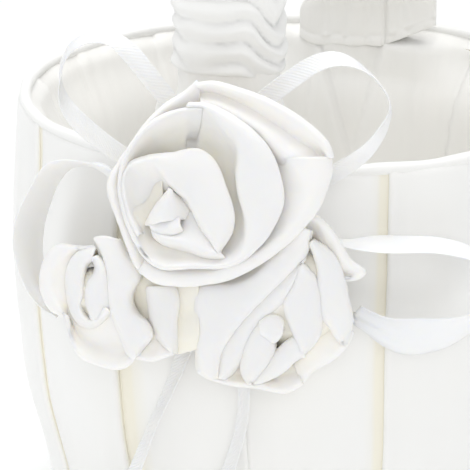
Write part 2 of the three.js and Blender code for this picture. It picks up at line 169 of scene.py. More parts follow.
def area_of(grid, wrap=False):
    """The area of a grid, in square millimetres."""
    closed = np.concatenate([grid, grid[:, :1]], axis=1) if wrap else grid
    a = closed[1:, 1:] - closed[:-1, :-1]
    b = closed[1:, :-1] - closed[:-1, 1:]
    return float(np.linalg.norm(np.cross(a, b), axis=2).sum() / 2)


def circle(count):
    """count angles once round, in radians."""
    return 2 * math.pi * np.arange(count) / count


def ring_faces(rings, around, closed=False):
    """The faces that join each ring of points to the next one, and the last ring to the first if closed."""
    faces = []
    for k in range(rings if closed else rings - 1):
        here, there = k * around, (k + 1) % rings * around
        for i in range(around):
            j = (i + 1) % around
            faces.append((here + i, here + j, there + j, there + i))
    return faces


def own_places(grid, wrap):
    """Where each point of a grid is on its cloth when that is laid flat, in millimetres."""
    cols = grid.shape[1]
    along, across = lengths(grid, wrap)
    return np.stack([along[:, :cols], across[:, :cols]], axis=2).reshape(-1, 2)


def build(name, points, faces, uvs, material):
    """A smooth mesh object from points in millimetres. uvs says where each one is on the flat cloth."""
    mesh = bpy.data.meshes.new(name)
    mesh.from_pydata((np.asarray(points) * MM).tolist(), [], faces)
    layer = mesh.uv_layers.new(name="cloth")
    index = np.array([v for f in faces for v in f])
    layer.data.foreach_set("uv", np.asarray(uvs, np.float32)[index].ravel())
    mesh.polygons.foreach_set("use_smooth", [True] * len(mesh.polygons))
    mesh.materials.append(material)
    mesh.update()
    piece = bpy.data.objects.new(name, mesh)
    bpy.context.scene.collection.objects.link(piece)
    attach(piece, BODY)
    return piece


def cloth(name, grid, thickness, material, wrap=False):
    """A cloth of even thickness on a grid, as a closed mesh with rounded edges."""
    ends = [2 * grid[0] - grid[1], 2 * grid[-1] - grid[-2]]
    for k, edge in ((0, grid[0]), (1, grid[-1])):
        out = ends[k] - edge
        out /= np.maximum(np.linalg.norm(out, axis=1, keepdims=True), 1e-9)
        ends[k] = edge + out * thickness * EDGE_OUT
    full = np.concatenate([ends[0][None], grid, ends[1][None]])
    thick = np.full(full.shape[:2], thickness / 2)
    thick[[0, -1]] *= EDGE_THIN
    if not wrap:
        sides = [full[:, 0] - full[:, 1], full[:, -1] - full[:, -2]]
        for k, edge in ((0, full[:, 0]), (1, full[:, -1])):
            out = sides[k] / np.maximum(np.linalg.norm(sides[k], axis=1, keepdims=True), 1e-9)
            sides[k] = edge + out * thickness * EDGE_OUT
        full = np.concatenate([sides[0][:, None], full, sides[1][:, None]], axis=1)
        thick = np.pad(thick, ((0, 0), (1, 1)), mode="edge")
        thick[:, [0, -1]] *= EDGE_THIN
    n = normals(full, wrap) * thick[..., None]
    rows, cols = full.shape[:2]
    points = np.concatenate([(full + n).reshape(-1, 3), (full - n).reshape(-1, 3)])
    uv = own_places(full, wrap)
    other = rows * cols
    faces = []
    last = cols if wrap else cols - 1
    for i in range(rows - 1):
        for j in range(last):
            a, b = i * cols + j, i * cols + (j + 1) % cols
            c, d = b + cols, a + cols
            faces += [(a, b, c, d), (other + a, other + d, other + c, other + b)]
    for j in range(last):
        a, b = j, (j + 1) % cols
        faces.append((b, a, other + a, other + b))
        a, b = a + (rows - 1) * cols, b + (rows - 1) * cols
        faces.append((a, b, other + b, other + a))
    if not wrap:
        for i in range(rows - 1):
            a, d = i * cols, (i + 1) * cols
            faces.append((a, d, other + d, other + a))
            a, d = a + cols - 1, d + cols - 1
            faces.append((d, a, other + a, other + d))
    return build(name, points, faces, np.concatenate([uv, uv]), material)


# ---------------------------------------------------------------- materials

RELIEF = 0.0002  # the height of a weave or a grain, in metres
BANDS = 3.3  # the wave texture's bands in one unit of its scale
ROOT_TO_LIP = (4.0, 15.0)  # where a petal's painted root shade fades out, in millimetres of cloth from its root
FOLD_SHADE = "fold_shade_mask"  # the skirt's attribute that is 1 down in its folds, where painted shade goes


def new_material(name):
    """A material with its nodes, its links and its shader."""
    mat = bpy.data.materials.new(name)
    mat.use_nodes = True
    tree = mat.node_tree
    return mat, tree.nodes, tree.links, tree.nodes["Principled BSDF"]


def mixed(nodes, links, factor, a, b):
    """A colour between a and b, which are each a colour or another node's output."""
    mix = nodes.new("ShaderNodeMix")
    mix.data_type = "RGBA"
    links.new(factor, mix.inputs["Factor"])
    for socket, value in (("A", a), ("B", b)):
        if isinstance(value, tuple):
            mix.inputs[socket].default_value = (*value, 1)
        else:
            links.new(value, mix.inputs[socket])
    return mix.outputs["Result"]


def grainy(nodes, links, source, scale, detail):
    """Noise from 0 to 1, read at the places that source gives."""
    noise_node = nodes.new("ShaderNodeTexNoise")
    noise_node.inputs["Scale"].default_value = scale
    noise_node.inputs["Detail"].default_value = detail
    links.new(source, noise_node.inputs["Vector"])
    return noise_node.outputs["Fac"]


def raised(nodes, links, shader, height, strength):
    """Lets a height in metres stand out of the surface."""
    relief = nodes.new("ShaderNodeBump")
    relief.inputs["Strength"].default_value = strength
    relief.inputs["Distance"].default_value = RELIEF
    links.new(height, relief.inputs["Height"])
    links.new(relief.outputs["Normal"], shader.inputs["Normal"])


def satin(name, color, crease, weave=0.22, rough=0.42, streak=0.0, twill=False, bump=0.12, glow=0.0,
          deep=None, fold_shade=None):
    """A satin cloth: a fine weave, soft streaks along the threads and a slightly uneven colour.

    deep is painted shade near a petal's root that fades out towards its lip, and the last colour is painted
    shade down in the skirt's folds.
    """
    mat, nodes, links, shader = new_material(name)
    place = nodes.new("ShaderNodeTexCoord")
    uv = nodes.new("ShaderNodeUVMap")
    uv.uv_map = "cloth"

    cloud = grainy(nodes, links, place.outputs["Object"], 38.0, 3.0)
    shown = mixed(nodes, links, cloud, color, crease)
    # Painted shade: near a petal's root the colour turns to deep, a warmer, darker tint for the shade and
    # bounced light in the rose's hollows.
    if deep:
        split = nodes.new("ShaderNodeSeparateXYZ")
        links.new(uv.outputs["UV"], split.inputs["Vector"])
        root_shade_fade = nodes.new("ShaderNodeMapRange")
        root_shade_fade.interpolation_type = "SMOOTHSTEP"
        root_shade_fade.inputs["From Min"].default_value, root_shade_fade.inputs["From Max"].default_value = ROOT_TO_LIP
        links.new(split.outputs["Y"], root_shade_fade.inputs["Value"])
        shown = mixed(nodes, links, root_shade_fade.outputs["Result"], deep, shown)
    # Painted shade: down in the skirt's folds, where its attribute marks them, the colour turns to a gold
    # shade tint.
    if fold_shade:
        fold_shade_mask = nodes.new("ShaderNodeAttribute")
        fold_shade_mask.attribute_name = FOLD_SHADE
        shown = mixed(nodes, links, fold_shade_mask.outputs["Fac"], shown, fold_shade)
    links.new(shown, shader.inputs["Base Color"])

    threads = nodes.new("ShaderNodeTexWave")
    threads.wave_type = "BANDS"
    threads.bands_direction = "DIAGONAL" if twill else "X"
    threads.wave_profile = "SIN"
    threads.inputs["Scale"].default_value = 1.0 / weave / BANDS
    threads.inputs["Distortion"].default_value = 0.4
    threads.inputs["Detail"].default_value = 1.0
    links.new(uv.outputs["UV"], threads.inputs["Vector"])
    height = threads.outputs["Fac"]
    if streak:
        stretch = nodes.new("ShaderNodeMapping")
        stretch.inputs["Scale"].default_value = (0.35, 0.02, 1)
        links.new(uv.outputs["UV"], stretch.inputs["Vector"])
        lines = grainy(nodes, links, stretch.outputs["Vector"], 1.0, 4.0)
        both = nodes.new("ShaderNodeMath")
        both.operation = "MULTIPLY_ADD"
        both.inputs[1].default_value = streak
        links.new(lines, both.inputs[0])
        links.new(height, both.inputs[2])
        height = both.outputs[0]
    raised(nodes, links, shader, height, bump)

    gloss = nodes.new("ShaderNodeMapRange")
    gloss.inputs["To Min"].default_value = rough - 0.05
    gloss.inputs["To Max"].default_value = rough + 0.07
    links.new(cloud, gloss.inputs["Value"])
    links.new(gloss.outputs["Result"], shader.inputs["Roughness"])
    shader.inputs["Subsurface Weight"].default_value = glow
    shader.inputs["Subsurface Radius"].default_value = (1.0, 0.85, 0.6)
    shader.inputs["Subsurface Scale"].default_value = 0.0015
    shader.inputs["Sheen Weight"].default_value = 0.25
    shader.inputs["Sheen Roughness"].default_value = 0.4
    shader.inputs["Specular IOR Level"].default_value = 0.45
    return mat


WARM_WHITE = (0.965, 0.955, 0.925)
COOL_WHITE = (0.965, 0.965, 0.955)
# The satin inside the basket and on the cuffs is lighter and warmer than outside: the cloth's own cream, and
# painted light that lifts the shade in there.
PALE_CREAM = (0.988, 0.982, 0.962)
IVORY = (0.985, 0.968, 0.925)
# painted shade for down in the skirt's folds
SHADOW_GOLD = (0.965, 0.93, 0.81)
# painted shade near the petals' roots, for the roses' hollows
PAINTED_ROOT_SHADE = (0.988, 0.935, 0.82)
# painted shade: the satin of the roses' cores and recess petal, warmer and darker than the petals, for the
# shade deep in the roses
HOLLOW_SHADE, HOLLOW_SHADE_CREASE = (0.985, 0.95, 0.855), (0.98, 0.94, 0.825)
PETAL, PETAL_CREASE = (0.99, 0.965, 0.93), (0.99, 0.96, 0.912)
OUTER = satin("outer_satin", COOL_WHITE, WARM_WHITE, streak=1.5, fold_shade=SHADOW_GOLD)
LINING = satin("lining_satin", PALE_CREAM, IVORY, streak=1.0)
ROSE_HOLLOW_SHADE = satin("rose_hollow_shade_satin", HOLLOW_SHADE, HOLLOW_SHADE_CREASE, rough=0.5, glow=0.3)
CUFF = satin("cuff_satin", PALE_CREAM, IVORY, rough=0.36)
HANDLE = satin("handle_satin", COOL_WHITE, WARM_WHITE, rough=0.3)
ROSE = satin("rose_satin", PETAL, PETAL_CREASE, rough=0.44, glow=0.5, deep=PAINTED_ROOT_SHADE)
THIN_RIBBON = satin(
    "thin_ribbon", (0.975, 0.97, 0.975), COOL_WHITE, weave=0.55, rough=0.3, twill=True, bump=0.4, glow=0.3
)
WIDE = satin("wide_ribbon", (0.975, 0.975, 0.985), COOL_WHITE, weave=0.3, rough=0.32, glow=0.7)


def plain(name, color, rough, metal=0.0, grain=300.0, bump=0.3):
    """A dull material with a fine grain, for what is under the satin."""
    mat, nodes, links, shader = new_material(name)
    place = nodes.new("ShaderNodeTexCoord")
    speck = grainy(nodes, links, place.outputs["Object"], grain, 5.0)
    dark = tuple(c * 0.93 for c in color)
    links.new(mixed(nodes, links, speck, dark, color), shader.inputs["Base Color"])
    raised(nodes, links, shader, speck, bump)
    shader.inputs["Roughness"].default_value = rough
    shader.inputs["Metallic"].default_value = metal
    return mat


UNDER = {
    "felt": plain("felt", (0.95, 0.93, 0.88), 0.95, grain=700, bump=0.8),
    "base_cloth": plain("base_cloth", (0.85, 0.83, 0.78), 0.9, grain=900, bump=0.6),
    "board": plain("board", (0.62, 0.56, 0.46), 0.9, grain=400),
    "wadding": plain("wadding", (0.9, 0.9, 0.88), 1.0, grain=200, bump=1.0),
    "hoop_plastic": plain("hoop_plastic", (0.86, 0.86, 0.83), 0.4, grain=60, bump=0.05),
    "rivet_metal": plain("rivet_metal", (0.72, 0.7, 0.66), 0.28, metal=1.0, grain=120, bump=0.08),
}
for part in frame["record"]["subparts"]:
    if part["material_slot"] in UNDER:
        node = frame["nodes"][part["node"]]
        node.data.materials.clear()
        node.data.materials.append(UNDER[part["material_slot"]])

# ---------------------------------------------------------------- camera, light and floor

AZIMUTH, ELEVATION = math.radians(17.1), math.radians(18.35)
LEVEL = math.cos(ELEVATION)
SEEN_BACK = np.array([math.sin(AZIMUTH) * LEVEL, -math.cos(AZIMUTH) * LEVEL, math.sin(ELEVATION)])
SEEN_RIGHT = np.array([math.cos(AZIMUTH), math.sin(AZIMUTH), 0.0])
SEEN_UP = np.cross(SEEN_BACK, SEEN_RIGHT)
AIM = np.array([0, 0, 88.8]) - 20.1 * SEEN_RIGHT
DISTANCE = 926.5
FLOOR_HALF = 5.0  # half the floor's width, in metres


def make_camera():
    """The photograph's view."""
    data = bpy.data.cameras.new("camera")
    data.lens = 242.5
    data.sensor_width = 36
    camera = bpy.data.objects.new("camera", data)
    bpy.context.scene.collection.objects.link(camera)
    place = (AIM + DISTANCE * SEEN_BACK) * MM
    turn = np.stack([SEEN_RIGHT, SEEN_UP, SEEN_BACK], axis=1)
    camera.matrix_world = Matrix.Translation(place) @ Matrix(turn.tolist()).to_4x4()
    bpy.context.scene.camera = camera


def area_light(name, place, aim, size, power, color):
    """A square light, with its place and size in metres and its power in watts."""
    data = bpy.data.lights.new(name, "AREA")
    data.size = size
    data.energy = power
    data.color = color
    light = bpy.data.objects.new(name, data)
    bpy.context.scene.collection.objects.link(light)
    light.location = place
    light.rotation_euler = (Vector(aim) - Vector(place)).to_track_quat("-Z", "Y").to_euler()


def make_studio():
    """A white studio: a soft world, three square lights and a pale floor."""
    world = bpy.data.worlds.new("studio")
    bpy.context.scene.world = world
    world.use_nodes = True
    sky = world.node_tree.nodes["Background"]
    sky.inputs["Color"].default_value = (0.97, 0.985, 1.0, 1)
    sky.inputs["Strength"].default_value = 0.54
    area_light("key", (0.7, -2.1, 1.0), (0, 0, 0.1), 1.0, 7.8, (1.0, 0.99, 0.98))
    area_light("fill", (-1.7, -0.9, 0.8), (0, 0, 0.1), 1.0, 1.8, (0.93, 0.97, 1.0))
    area_light("top", (-0.1, 0.05, 1.9), (0, 0, 0), 1.6, 26, (1.0, 1.0, 1.0))
    mat = plain("floor", (0.99, 0.99, 0.985), 0.9, grain=8, bump=0.0)
    mesh = bpy.data.meshes.new("floor")
    line = (-FLOOR_HALF, 0, FLOOR_HALF)
    faces = [(a, a + 1, a + 4, a + 3) for a in (0, 1, 3, 4)]
    mesh.from_pydata([(x, y, 0) for y in line for x in line], [], faces)
    mesh.materials.append(mat)
    floor = bpy.data.objects.new("floor", mesh)
    bpy.context.scene.collection.objects.link(floor)
    bpy.context.scene.view_settings.view_transform = "Standard"


make_camera()
make_studio()

# ---------------------------------------------------------------- the pleated skirt and the rim

SKIRT_HEIGHTS = [0, 16, 26, 39, 52, 61, 71, 83, 95, 107, 122, RIM_Z]
SKIRT_RADII = [72.0, 74.6, 75.8, 78.9, 82.0, 83.1, 84.0, 84.6, 84.5, 84.0, 83.0, 82.6]


def skirt_radius(z):
    """The skirt's radius at a height."""
    t = np.array(SKIRT_HEIGHTS, float)
    radii = np.array(SKIRT_RADII)[:, None]
    return natural_cubic(t, radii, np.atleast_1d(np.asarray(z, float)))[:, 0]


# Each pleat's edge: where it is, which panel lies on top (1: the right one, -1: the left one, 0: the
# two edges meet), and how wide the gap is beside it, in degrees.
PLEATS = [
    (-173.5, 1, 2.0),
    (-148.6, 1, 2.6),
    (-123.2, 0, 0.35),
    (-97.0, -1, 3.0),
    (-72.5, 1, 2.2),
    (-48.5, -1, 2.4),
    (-22.0, -1, 7.5),
    (5.3, 0, 0.35),
    (31.5, 1, 3.4),
    (57.0, 1, 2.4),
    (82.6, 0, 0.35),
    (108.8, -1, 2.6),
    (134.0, 1, 3.0),
    (160.2, 0, 0.35),
]
LAP = 4.6  # how far a panel's cloth is folded under, in degrees
UNDER_DEPTH = 1.7  # how far the folded-under cloth lies behind a panel's face
PANEL_EDGE = 2.4  # degrees between a pleat's edge and the puffed part of a panel
PUFF = 0.75
SKIRT_CLOTH = 0.42  # thickness
HEM = (0.35, 0.3, 0.9, 1.9)  # the heights of the hem's turn-in, and how far in each one is
HEM_IN = (5.0, 2.6, 0.9, 0.2)
TOP_DROP = (3.0, 2.2, 1.7)  # the same at the rim, down from it
TOP_IN = (0.15, 0.6, 1.6)


def lap(at, gap, side):
    """The folded edge of a panel that lies over its neighbour, from the neighbour's side inwards."""
    dip = 0.7 + 0.12 * gap
    steps = [
        (-gap * 0.8 - 1.4, 0.2, 0.5),
        (-gap * 0.45 - 1.1, -0.3 * dip, 1),
        (-gap * 0.3 - 0.6, -0.9 * dip, 1),
        (0.0, -dip, 1),
        (0.45, -dip + 0.2, 1),
        (LAP * 0.5, -dip - 0.2, 1),
        (LAP, -UNDER_DEPTH, 1),
        (LAP + 0.25, -1.4, 1),
        (LAP * 0.6, -1.05, 1),
        (0.6, -dip + 0.05, 1),
        (0.08, -dip + 0.15, 1),
        (-0.08, 0.05, 1),
        (0.12, 0.42, 1),
        (0.8, 0.6, 1),
    ]
    return [(at + side * turn, depth, edge) for turn, depth, edge in steps]


def pleat_section():
    """The cloth's section as (angle, depth, edge weight) points, once round."""
    section = []
    for i, (at, top, gap) in enumerate(PLEATS):
        before = PLEATS[i - 1][0] - (360 if i == 0 else 0)
        start = before + (PLEATS[i - 1][2] if PLEATS[i - 1][1] < 0 else 0) + PANEL_EDGE
        stop = at - (gap if top > 0 else 0) - PANEL_EDGE
        for t in np.linspace(0, 1, 9):
            puff = PUFF * math.sin(math.pi * t) ** 0.8
            section.append((start + (stop - start) * t, puff, 0.0))
        if top > 0:
            section += lap(at, gap, 1)
        elif top < 0:
            section += lap(at, gap, -1)[::-1]
        else:
            half = gap / 2
            steps = [
                (half + 0.7, 0.4),
                (half + 0.1, 0.2),
                (half - 0.1, -0.1),
                (half - 0.05, -0.55),
                (LAP * 0.5, -0.9),
                (LAP, -1.3),
                (LAP * 0.5, -UNDER_DEPTH),
            ]
            section += [(at - turn, depth, 1) for turn, depth in steps]
            section += [(at + turn, depth, 1) for turn, depth in steps[::-1]]
    return np.array(section)


def make_skirt():
    """The pleated skirt: one cloth, whose section is the same all the way up but for its size and sway."""
    section = pleat_section()
    angle, depth, edge = section.T
    main = np.linspace(3.2, RIM_Z - 4.0, 62)
    heights = np.concatenate([HEM, main, RIM_Z - np.array(TOP_DROP)])
    inset = np.concatenate([HEM_IN, np.zeros(len(main)), TOP_IN])
    turn = np.radians(angle)
    outer = edge < 0.9
    rings = []
    for z, pull in zip(heights, inset):
        loose = float(smooth(z, 0, 14)) * float(1 - smooth(z, RIM_Z - 12, RIM_Z - 2))
        sway = noise_along(np.cos(turn) * 2, np.sin(turn) * 2, z / 55)
        ripple = noise_along(angle / 6.0 * 7.1, z / 70, 3.3)
        broad = noise_along(angle / 14.0 * 2.3, z / 45, 9.1)
        d = depth * (0.55 + 0.45 * loose) - pull + outer * loose * (0.45 * ripple + 0.7 * broad)
        r = skirt_radius(z)[0] - 0.55 + d
        a = np.radians(angle + sway * 0.9)
        rings.append(np.stack([r * np.sin(a), -r * np.cos(a), np.full(len(a), z)], axis=1))
    grid = np.array(rings)
    piece = cloth("pleated_skirt_cloth", grid, SKIRT_CLOTH, OUTER, wrap=True)
    # Marks the cloth down in the folds, where the outer satin's painted gold shade goes.
    copies = len(piece.data.vertices) // len(section)
    fold_shade_mask = piece.data.attributes.new(FOLD_SHADE, "FLOAT", "POINT")
    fold_shade_mask.data.foreach_set("value", np.tile(smooth(-depth, 0.1, 0.8), copies).astype(np.float32))
    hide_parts("pleated_skirt")


RIM_TUBE = 1.7  # radius


def make_rim():
    """The rolled top edge, where the skirt's cloth turns over the board to the lining."""
    around, sides = 240, 14
    rows = []
    a = circle(around)
    lumps = noise_along(np.cos(a) * 7, np.sin(a) * 7, 0.7)
    sag = noise_along(np.cos(a) * 1.4, np.sin(a) * 1.4, 4.2)
    tube = RIM_TUBE * (1 + 0.12 * lumps)
    for turn in circle(sides):
        radius = RIM_OUT - RIM_TUBE - 0.3 + tube * math.cos(turn) + 0.5 * sag
        z = RIM_Z - RIM_TUBE - 0.1 + tube * math.sin(turn) + 0.35 * lumps
        rows.append(np.stack([radius * np.sin(a), -radius * np.cos(a), z], axis=1))
    grid = np.array(rows)
    points = grid.reshape(-1, 3)
    faces = ring_faces(sides, around, closed=True)
    along, _ = lengths(grid, True)
    across = np.arange(sides)[:, None] * (2 * math.pi * RIM_TUBE / sides)
    uv = np.stack([along[:, :around], np.broadcast_to(across, (sides, around))], axis=2).reshape(-1, 2)
    piece = build("rim_roll", points, faces, uv, OUTER)
    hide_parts("rim_piping")


# ---------------------------------------------------------------- the lining

# Loose pleats of the lining: where the edge is at the rim and where it has wandered to lower down, the
# height it fades out at, how deep it is, and which side of it the cloth dips on.
FOLDS = [
    (-168, -160, 60, 1.6, 1),
    (-150, -157, 70, 1.4, -1),
    (-128, -122, 55, 1.8, 1),
    (-104, -99, 70, 1.5, 1),
    (-84, -88, 50, 1.7, -1),
    (-62, -54, 65, 1.5, 1),
    (-38, -44, 70, 1.2, -1),
    (-14, -20, 80, 1.2, -1),
    (18, 24, 75, 1.3, 1),
    (40, 34, 60, 1.5, -1),
    (63, 68, 65, 1.6, 1),
    (88, 82, 55, 1.6, -1),
    (110, 116, 60, 1.6, 1),
    (136, 131, 55, 2.4, -1),
    (147, 152, 50, 3.2, 1),
    (153, 161, 66, 3.0, 1),
    (194, 183.5, 90, 2.6, -1),
    (175.7, 183.5, 90, 1.6, 1),
]


LINING_CLOTH = 0.4  # thickness
LINING_MIDDLE = 72.0  # the radius that a pleat's width is measured at
LINING_TOP = 132.5
SOFT_AT = 70  # the radius that its unevenness is read at
FOLD_WIDE, FOLD_SHARP = 5.0, 0.35  # how softly a pleat falls away on its two sides
WALL_TOP = high("wall_board")[2]
WALL_INSIDE = high("wall_board")[0] - 2.3
HOOP_INSIDE = 72.9
HOOP_REACH = (10, 22)  # the lining stays inside the hoop up to the first angle, and is free from the second


def lining_radius(z):
    """The lining's radius at a height, before its pleats."""
    heights = np.array([4.0, 16, 39, 61, 86, 104, 114, 121, 127, 130.5, 132.5])
    radii = np.array([65.6, 67.6, 69.8, 70.3, 70.3, 70.4, 71.4, 74.2, 76.6, 77.9, 79.8])
    return natural_cubic(heights, radii[:, None], np.atleast_1d(np.asarray(z, float)))[:, 0]


def make_lining():
    """The lining's wall, with its loose, wandering pleats; it is kept inside the board."""
    around = 420
    main = np.linspace(FLOOR_TOP + 0.3, RIM_Z - 3, 70)
    heights = np.concatenate([[FLOOR_TOP - 2.5, FLOOR_TOP - 1.2], main, [RIM_Z - 2.0, RIM_Z - 1.4]])
    angle = np.linspace(-180, 180, around, endpoint=False)
    rad = np.radians(angle)
    near = np.minimum(np.abs(angle), 180 - np.abs(angle))
    rows = []
    for z in heights:
        base = lining_radius(min(z, LINING_TOP))[0] + 1.2 * float(smooth(z, RIM_Z - 4.5, RIM_Z - 2.0))
        tucked = (1 - smooth(near, *HOOP_REACH)) * (1 - float(smooth(z, CUFF_LOW + 1.5, CUFF_LOW + 3.5)))
        base = base - tucked * max(0.0, base - HOOP_INSIDE)
        at_rim = float(1 - smooth(z, RIM_Z - 3, RIM_Z))
        dip = np.zeros(around)
        for top, bottom, fades, deep, side in FOLDS:
            t = (RIM_Z - z) / (RIM_Z - fades)
            line = top + (bottom - top) * min(t, 1.15)
            strength = 1.2 * deep * at_rim * float(smooth(z, fades - 14, fades + 12))
            s = ((angle - line + 180) % 360 - 180) * side * math.radians(LINING_MIDDLE)
            dip += strength * np.where(s > 0, np.exp(-s / FOLD_WIDE), np.exp(s / FOLD_SHARP))
            dip -= 0.4 * strength * np.where(s > 0, 0, np.exp(-(((s + 2.5) / 2.2) ** 2)))
        at = np.stack([SOFT_AT * np.sin(rad), -SOFT_AT * np.cos(rad), np.full(around, z * 0.45)], axis=1)
        soft = noise_at(at, 17, 2.0) * 0.8 + noise_at(at * [1, 1, 0.4], 6, 5.0) * 0.3
        soft += 0.55 * noise_along(angle / 2.3, z / 60, 1.9) * float(smooth(z, 84, 122))
        loose = float(smooth(z, FLOOR_TOP, 30)) * float(1 - smooth(z, RIM_Z - 6, RIM_Z - 1))
        r = base - 0.9 + 0.5 * dip + soft * loose - 0.3
        if z < WALL_TOP + 0.5:
            r = np.minimum(r, WALL_INSIDE - 0.45)
        rows.append(np.stack([r * np.sin(rad), -r * np.cos(rad), np.full(around, z)], axis=1))
    grid = np.array(rows)
    piece = cloth("lining_wall_cloth", grid, LINING_CLOTH, LINING, wrap=True)
    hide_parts("lining_wall")


def make_floor_pad():
    """The padded floor: a low crown that pulls in to a seam at its edge."""
    around, rings = 120, 26
    edge = high("lining_floor_pad")[0] - 0.3
    bottom, top = low("lining_floor_pad")[2], FLOOR_TOP
    profile = [(edge * 0.985, bottom + 0.2)]
    for k in range(rings - 1):
        t = k / (rings - 1)
        r = edge * (1 - t)
        profile.append((r, bottom + 0.9 + (top - bottom - 0.9) * (1 - (1 - t) ** 5) ** 0.6))
    points, uv = [], []
    for r, z in profile:
        for a in circle(around):
            x, y = r * math.sin(a), -r * math.cos(a)
            pucker = 0.35 * math.cos(24 * a) * math.exp(-(edge - r) / 7)
            lump = 0.5 * noise.noise(Vector((x / 22, y / 22, 7.7)))
            points.append((x, y, z + (pucker + lump) * min(1, (edge - r) / 5)))
            uv.append((x, y))
    faces = ring_faces(rings, around)
    last = (rings - 1) * around
    faces += [tuple(range(last, last + around)), tuple(reversed(range(around)))]
    piece = build("lining_floor_cushion", points, faces, uv, LINING)
    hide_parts("lining_floor_pad")


# ---------------------------------------------------------------- the ruched handle

HOOP_Y = high("handle_hoop")[1] - 0.9  # how far out the middle of the hoop's strip is
SHOULDER = SLEEVE_TOP - SLEEVE_OUT  # where the hoop's legs end and its arch begins


def hoop_point(s, foot):
    """The hoop's middle line at the distance s from a foot at the height given, and its direction."""
    leg, arch = SHOULDER - foot, math.pi * HOOP_Y
    if s < leg:
        return np.array([0, -HOOP_Y, foot + s]), np.array([0, 0, 1.0])
    turn = min((s - leg) / HOOP_Y, math.pi)
    down = max(0.0, s - leg - arch)
    place = np.array([0, -HOOP_Y * math.cos(turn), SHOULDER + HOOP_Y * math.sin(turn) - down])
    return place, np.array([0, math.sin(turn), math.cos(turn)])


def sleeve_section(half_w, half_d, turn, square=0.72):
    """A point of a rounded box's outline: square is 1 for an ellipse, and less for squarer corners."""
    c, s = math.cos(turn), math.sin(turn)
    x = half_w * math.copysign(abs(c) ** square, c)
    d = half_d * math.copysign(abs(s) ** square, s)
    return x, d


SLEEVE_FOOT = 158.8
SLEEVE_CLOTH = 0.45  # thickness
RUCHE = 6.2  # the distance between two ridges of the sleeve
RUCHE_DEPTH = 3.3


def ruching(c, d, s):
    """How far the sleeve's cloth stands out at the distance s, and its phase. c and d say which way round."""
    drift = noise.noise(Vector((c * 0.9, d * 0.9, s / 34 + 1.3)))
    wander = noise.noise(Vector((c * 1.8, d * 1.8, s / 15 + 7.9)))
    phase = s / RUCHE + 0.85 * drift + 0.42 * wander + 0.16 * c
    ridge = abs(math.sin(math.pi * phase)) ** 0.62
    calm = 0.62 + 0.55 * noise.noise(Vector((c * 1.5, d * 1.5, s / 21 + 3.1)))
    fine = noise.noise(Vector((c * 5, d * 5, s / 3.2)))
    swell = noise.noise(Vector((c * 0.8, d * 0.8, s / 11 + 5.5)))
    deep = RUCHE_DEPTH * max(0.12, calm)
    return deep * (ridge - 1) + 0.22 * fine + 0.8 * swell + 0.35, phase


def make_sleeve():
    """The ruched sleeve: rounded ridges with sharp, winding valleys between them, which fork and fade."""
    leg, arch = SHOULDER - SLEEVE_FOOT, math.pi * HOOP_Y
    total = 2 * leg + arch
    steps, around = 420, 72
    rows = []
    for k in range(steps):
        s = total * k / (steps - 1)
        place, ahead = hoop_point(s, SLEEVE_FOOT)
        away = np.array([0, -ahead[2], ahead[1]])
        gathered_in = 1.1 * math.exp(-min(s, total - s) / 0.9)
        ring = []
        for turn in circle(around):
            grow, phase = ruching(math.cos(turn), math.sin(turn), s)
            x, out = sleeve_section(SLEEVE_HALF_W - 0.6, SLEEVE_OUT - HOOP_Y, turn)
            scale = 1 + (grow - gathered_in) / math.hypot(x, out)
            roll = 0.9 * math.sin(2 * math.pi * phase) * 0.35
            ring.append(place + away * out * scale + np.array([x * scale, 0, 0]) + ahead * roll)
        rows.append(ring)
    grid = np.array(rows)
    piece = cloth("handle_sleeve_cloth", grid, SLEEVE_CLOTH, HANDLE, wrap=True)
    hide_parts("handle_sleeve")


CUFF_CLOTH = 0.5  # thickness
CUFF_HEM = (21.4, 1.9)  # half the cuff's width and depth at its hem
CUFF_NECK = (13.4, 6.2)  # the same where it goes into the sleeve
CUFF_TOP = 161
STITCHED = 3.6  # the height of the hem's stitches above its edge
SEAM_ACROSS = 5.5
GATHERS = 9.5


def make_cuff(end, side):
    """The sleeve's spread hem, which lies flat inside the lining and gathers up into the sleeve."""
    rows = []
    for z in np.linspace(CUFF_LOW + 0.6, CUFF_TOP, 60):
        t = float(smooth(z, RIM_Z + 1, RIM_Z + 19))
        half_w, half_d = (a + (b - a) * t for a, b in zip(CUFF_HEM, CUFF_NECK))
        hem = float(smooth(z, CUFF_LOW + 3.4, CUFF_LOW + 2.0))
        stitch = math.exp(-(((z - CUFF_LOW - STITCHED) / 0.45) ** 2))
        fullness = 0.35 + 0.65 * math.sin(math.pi * min(1, t + 0.25))
        ring = []
        for turn in circle(200):
            x, d = sleeve_section(half_w, half_d, turn, 1.0 - 0.28 * t)
            spread = x / half_w
            sway = noise.noise(Vector((spread * 2.5, z / 26, d / 6 + side)))
            gather = abs(math.sin(GATHERS * spread + 1.7 * sway)) ** 0.7
            broad = noise.noise(Vector((spread * 3 + side * 3, z / 24, d / 9)))
            small = noise.noise(Vector((x / 2.4, z / 7, 4.4 + side)))
            grow = 0.75 * (gather - 0.6) * fullness * (1 - abs(spread) ** 6)
            grow += 0.45 * broad + 0.2 * small + 0.3 * hem - 0.25 * stitch
            seam = math.exp(-(((x - SEAM_ACROSS * side) / 0.55) ** 2)) * (d < 0)
            d = d + math.copysign(grow, d) + 1.1 * seam
            lean = (x * x) / (2 * 80)
            sag = 0.8 * noise.noise(Vector((x / 7, 2.2, side)))
            slant = 0.42 * max(0, x * side - 4) + 0.05 * x * side + 0.06 * min(0, x * side + 15) ** 2
            ring.append((x, side * (HOOP_Y + d - lean * (1 - t)), z + (sag + slant) * (1 - t)))
        rows.append(ring)
    grid = np.array(rows)
    piece = cloth(f"handle_cuff_{end}_cloth", grid, CUFF_CLOTH, CUFF, wrap=True)
    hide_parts(f"handle_cuff_{end}")


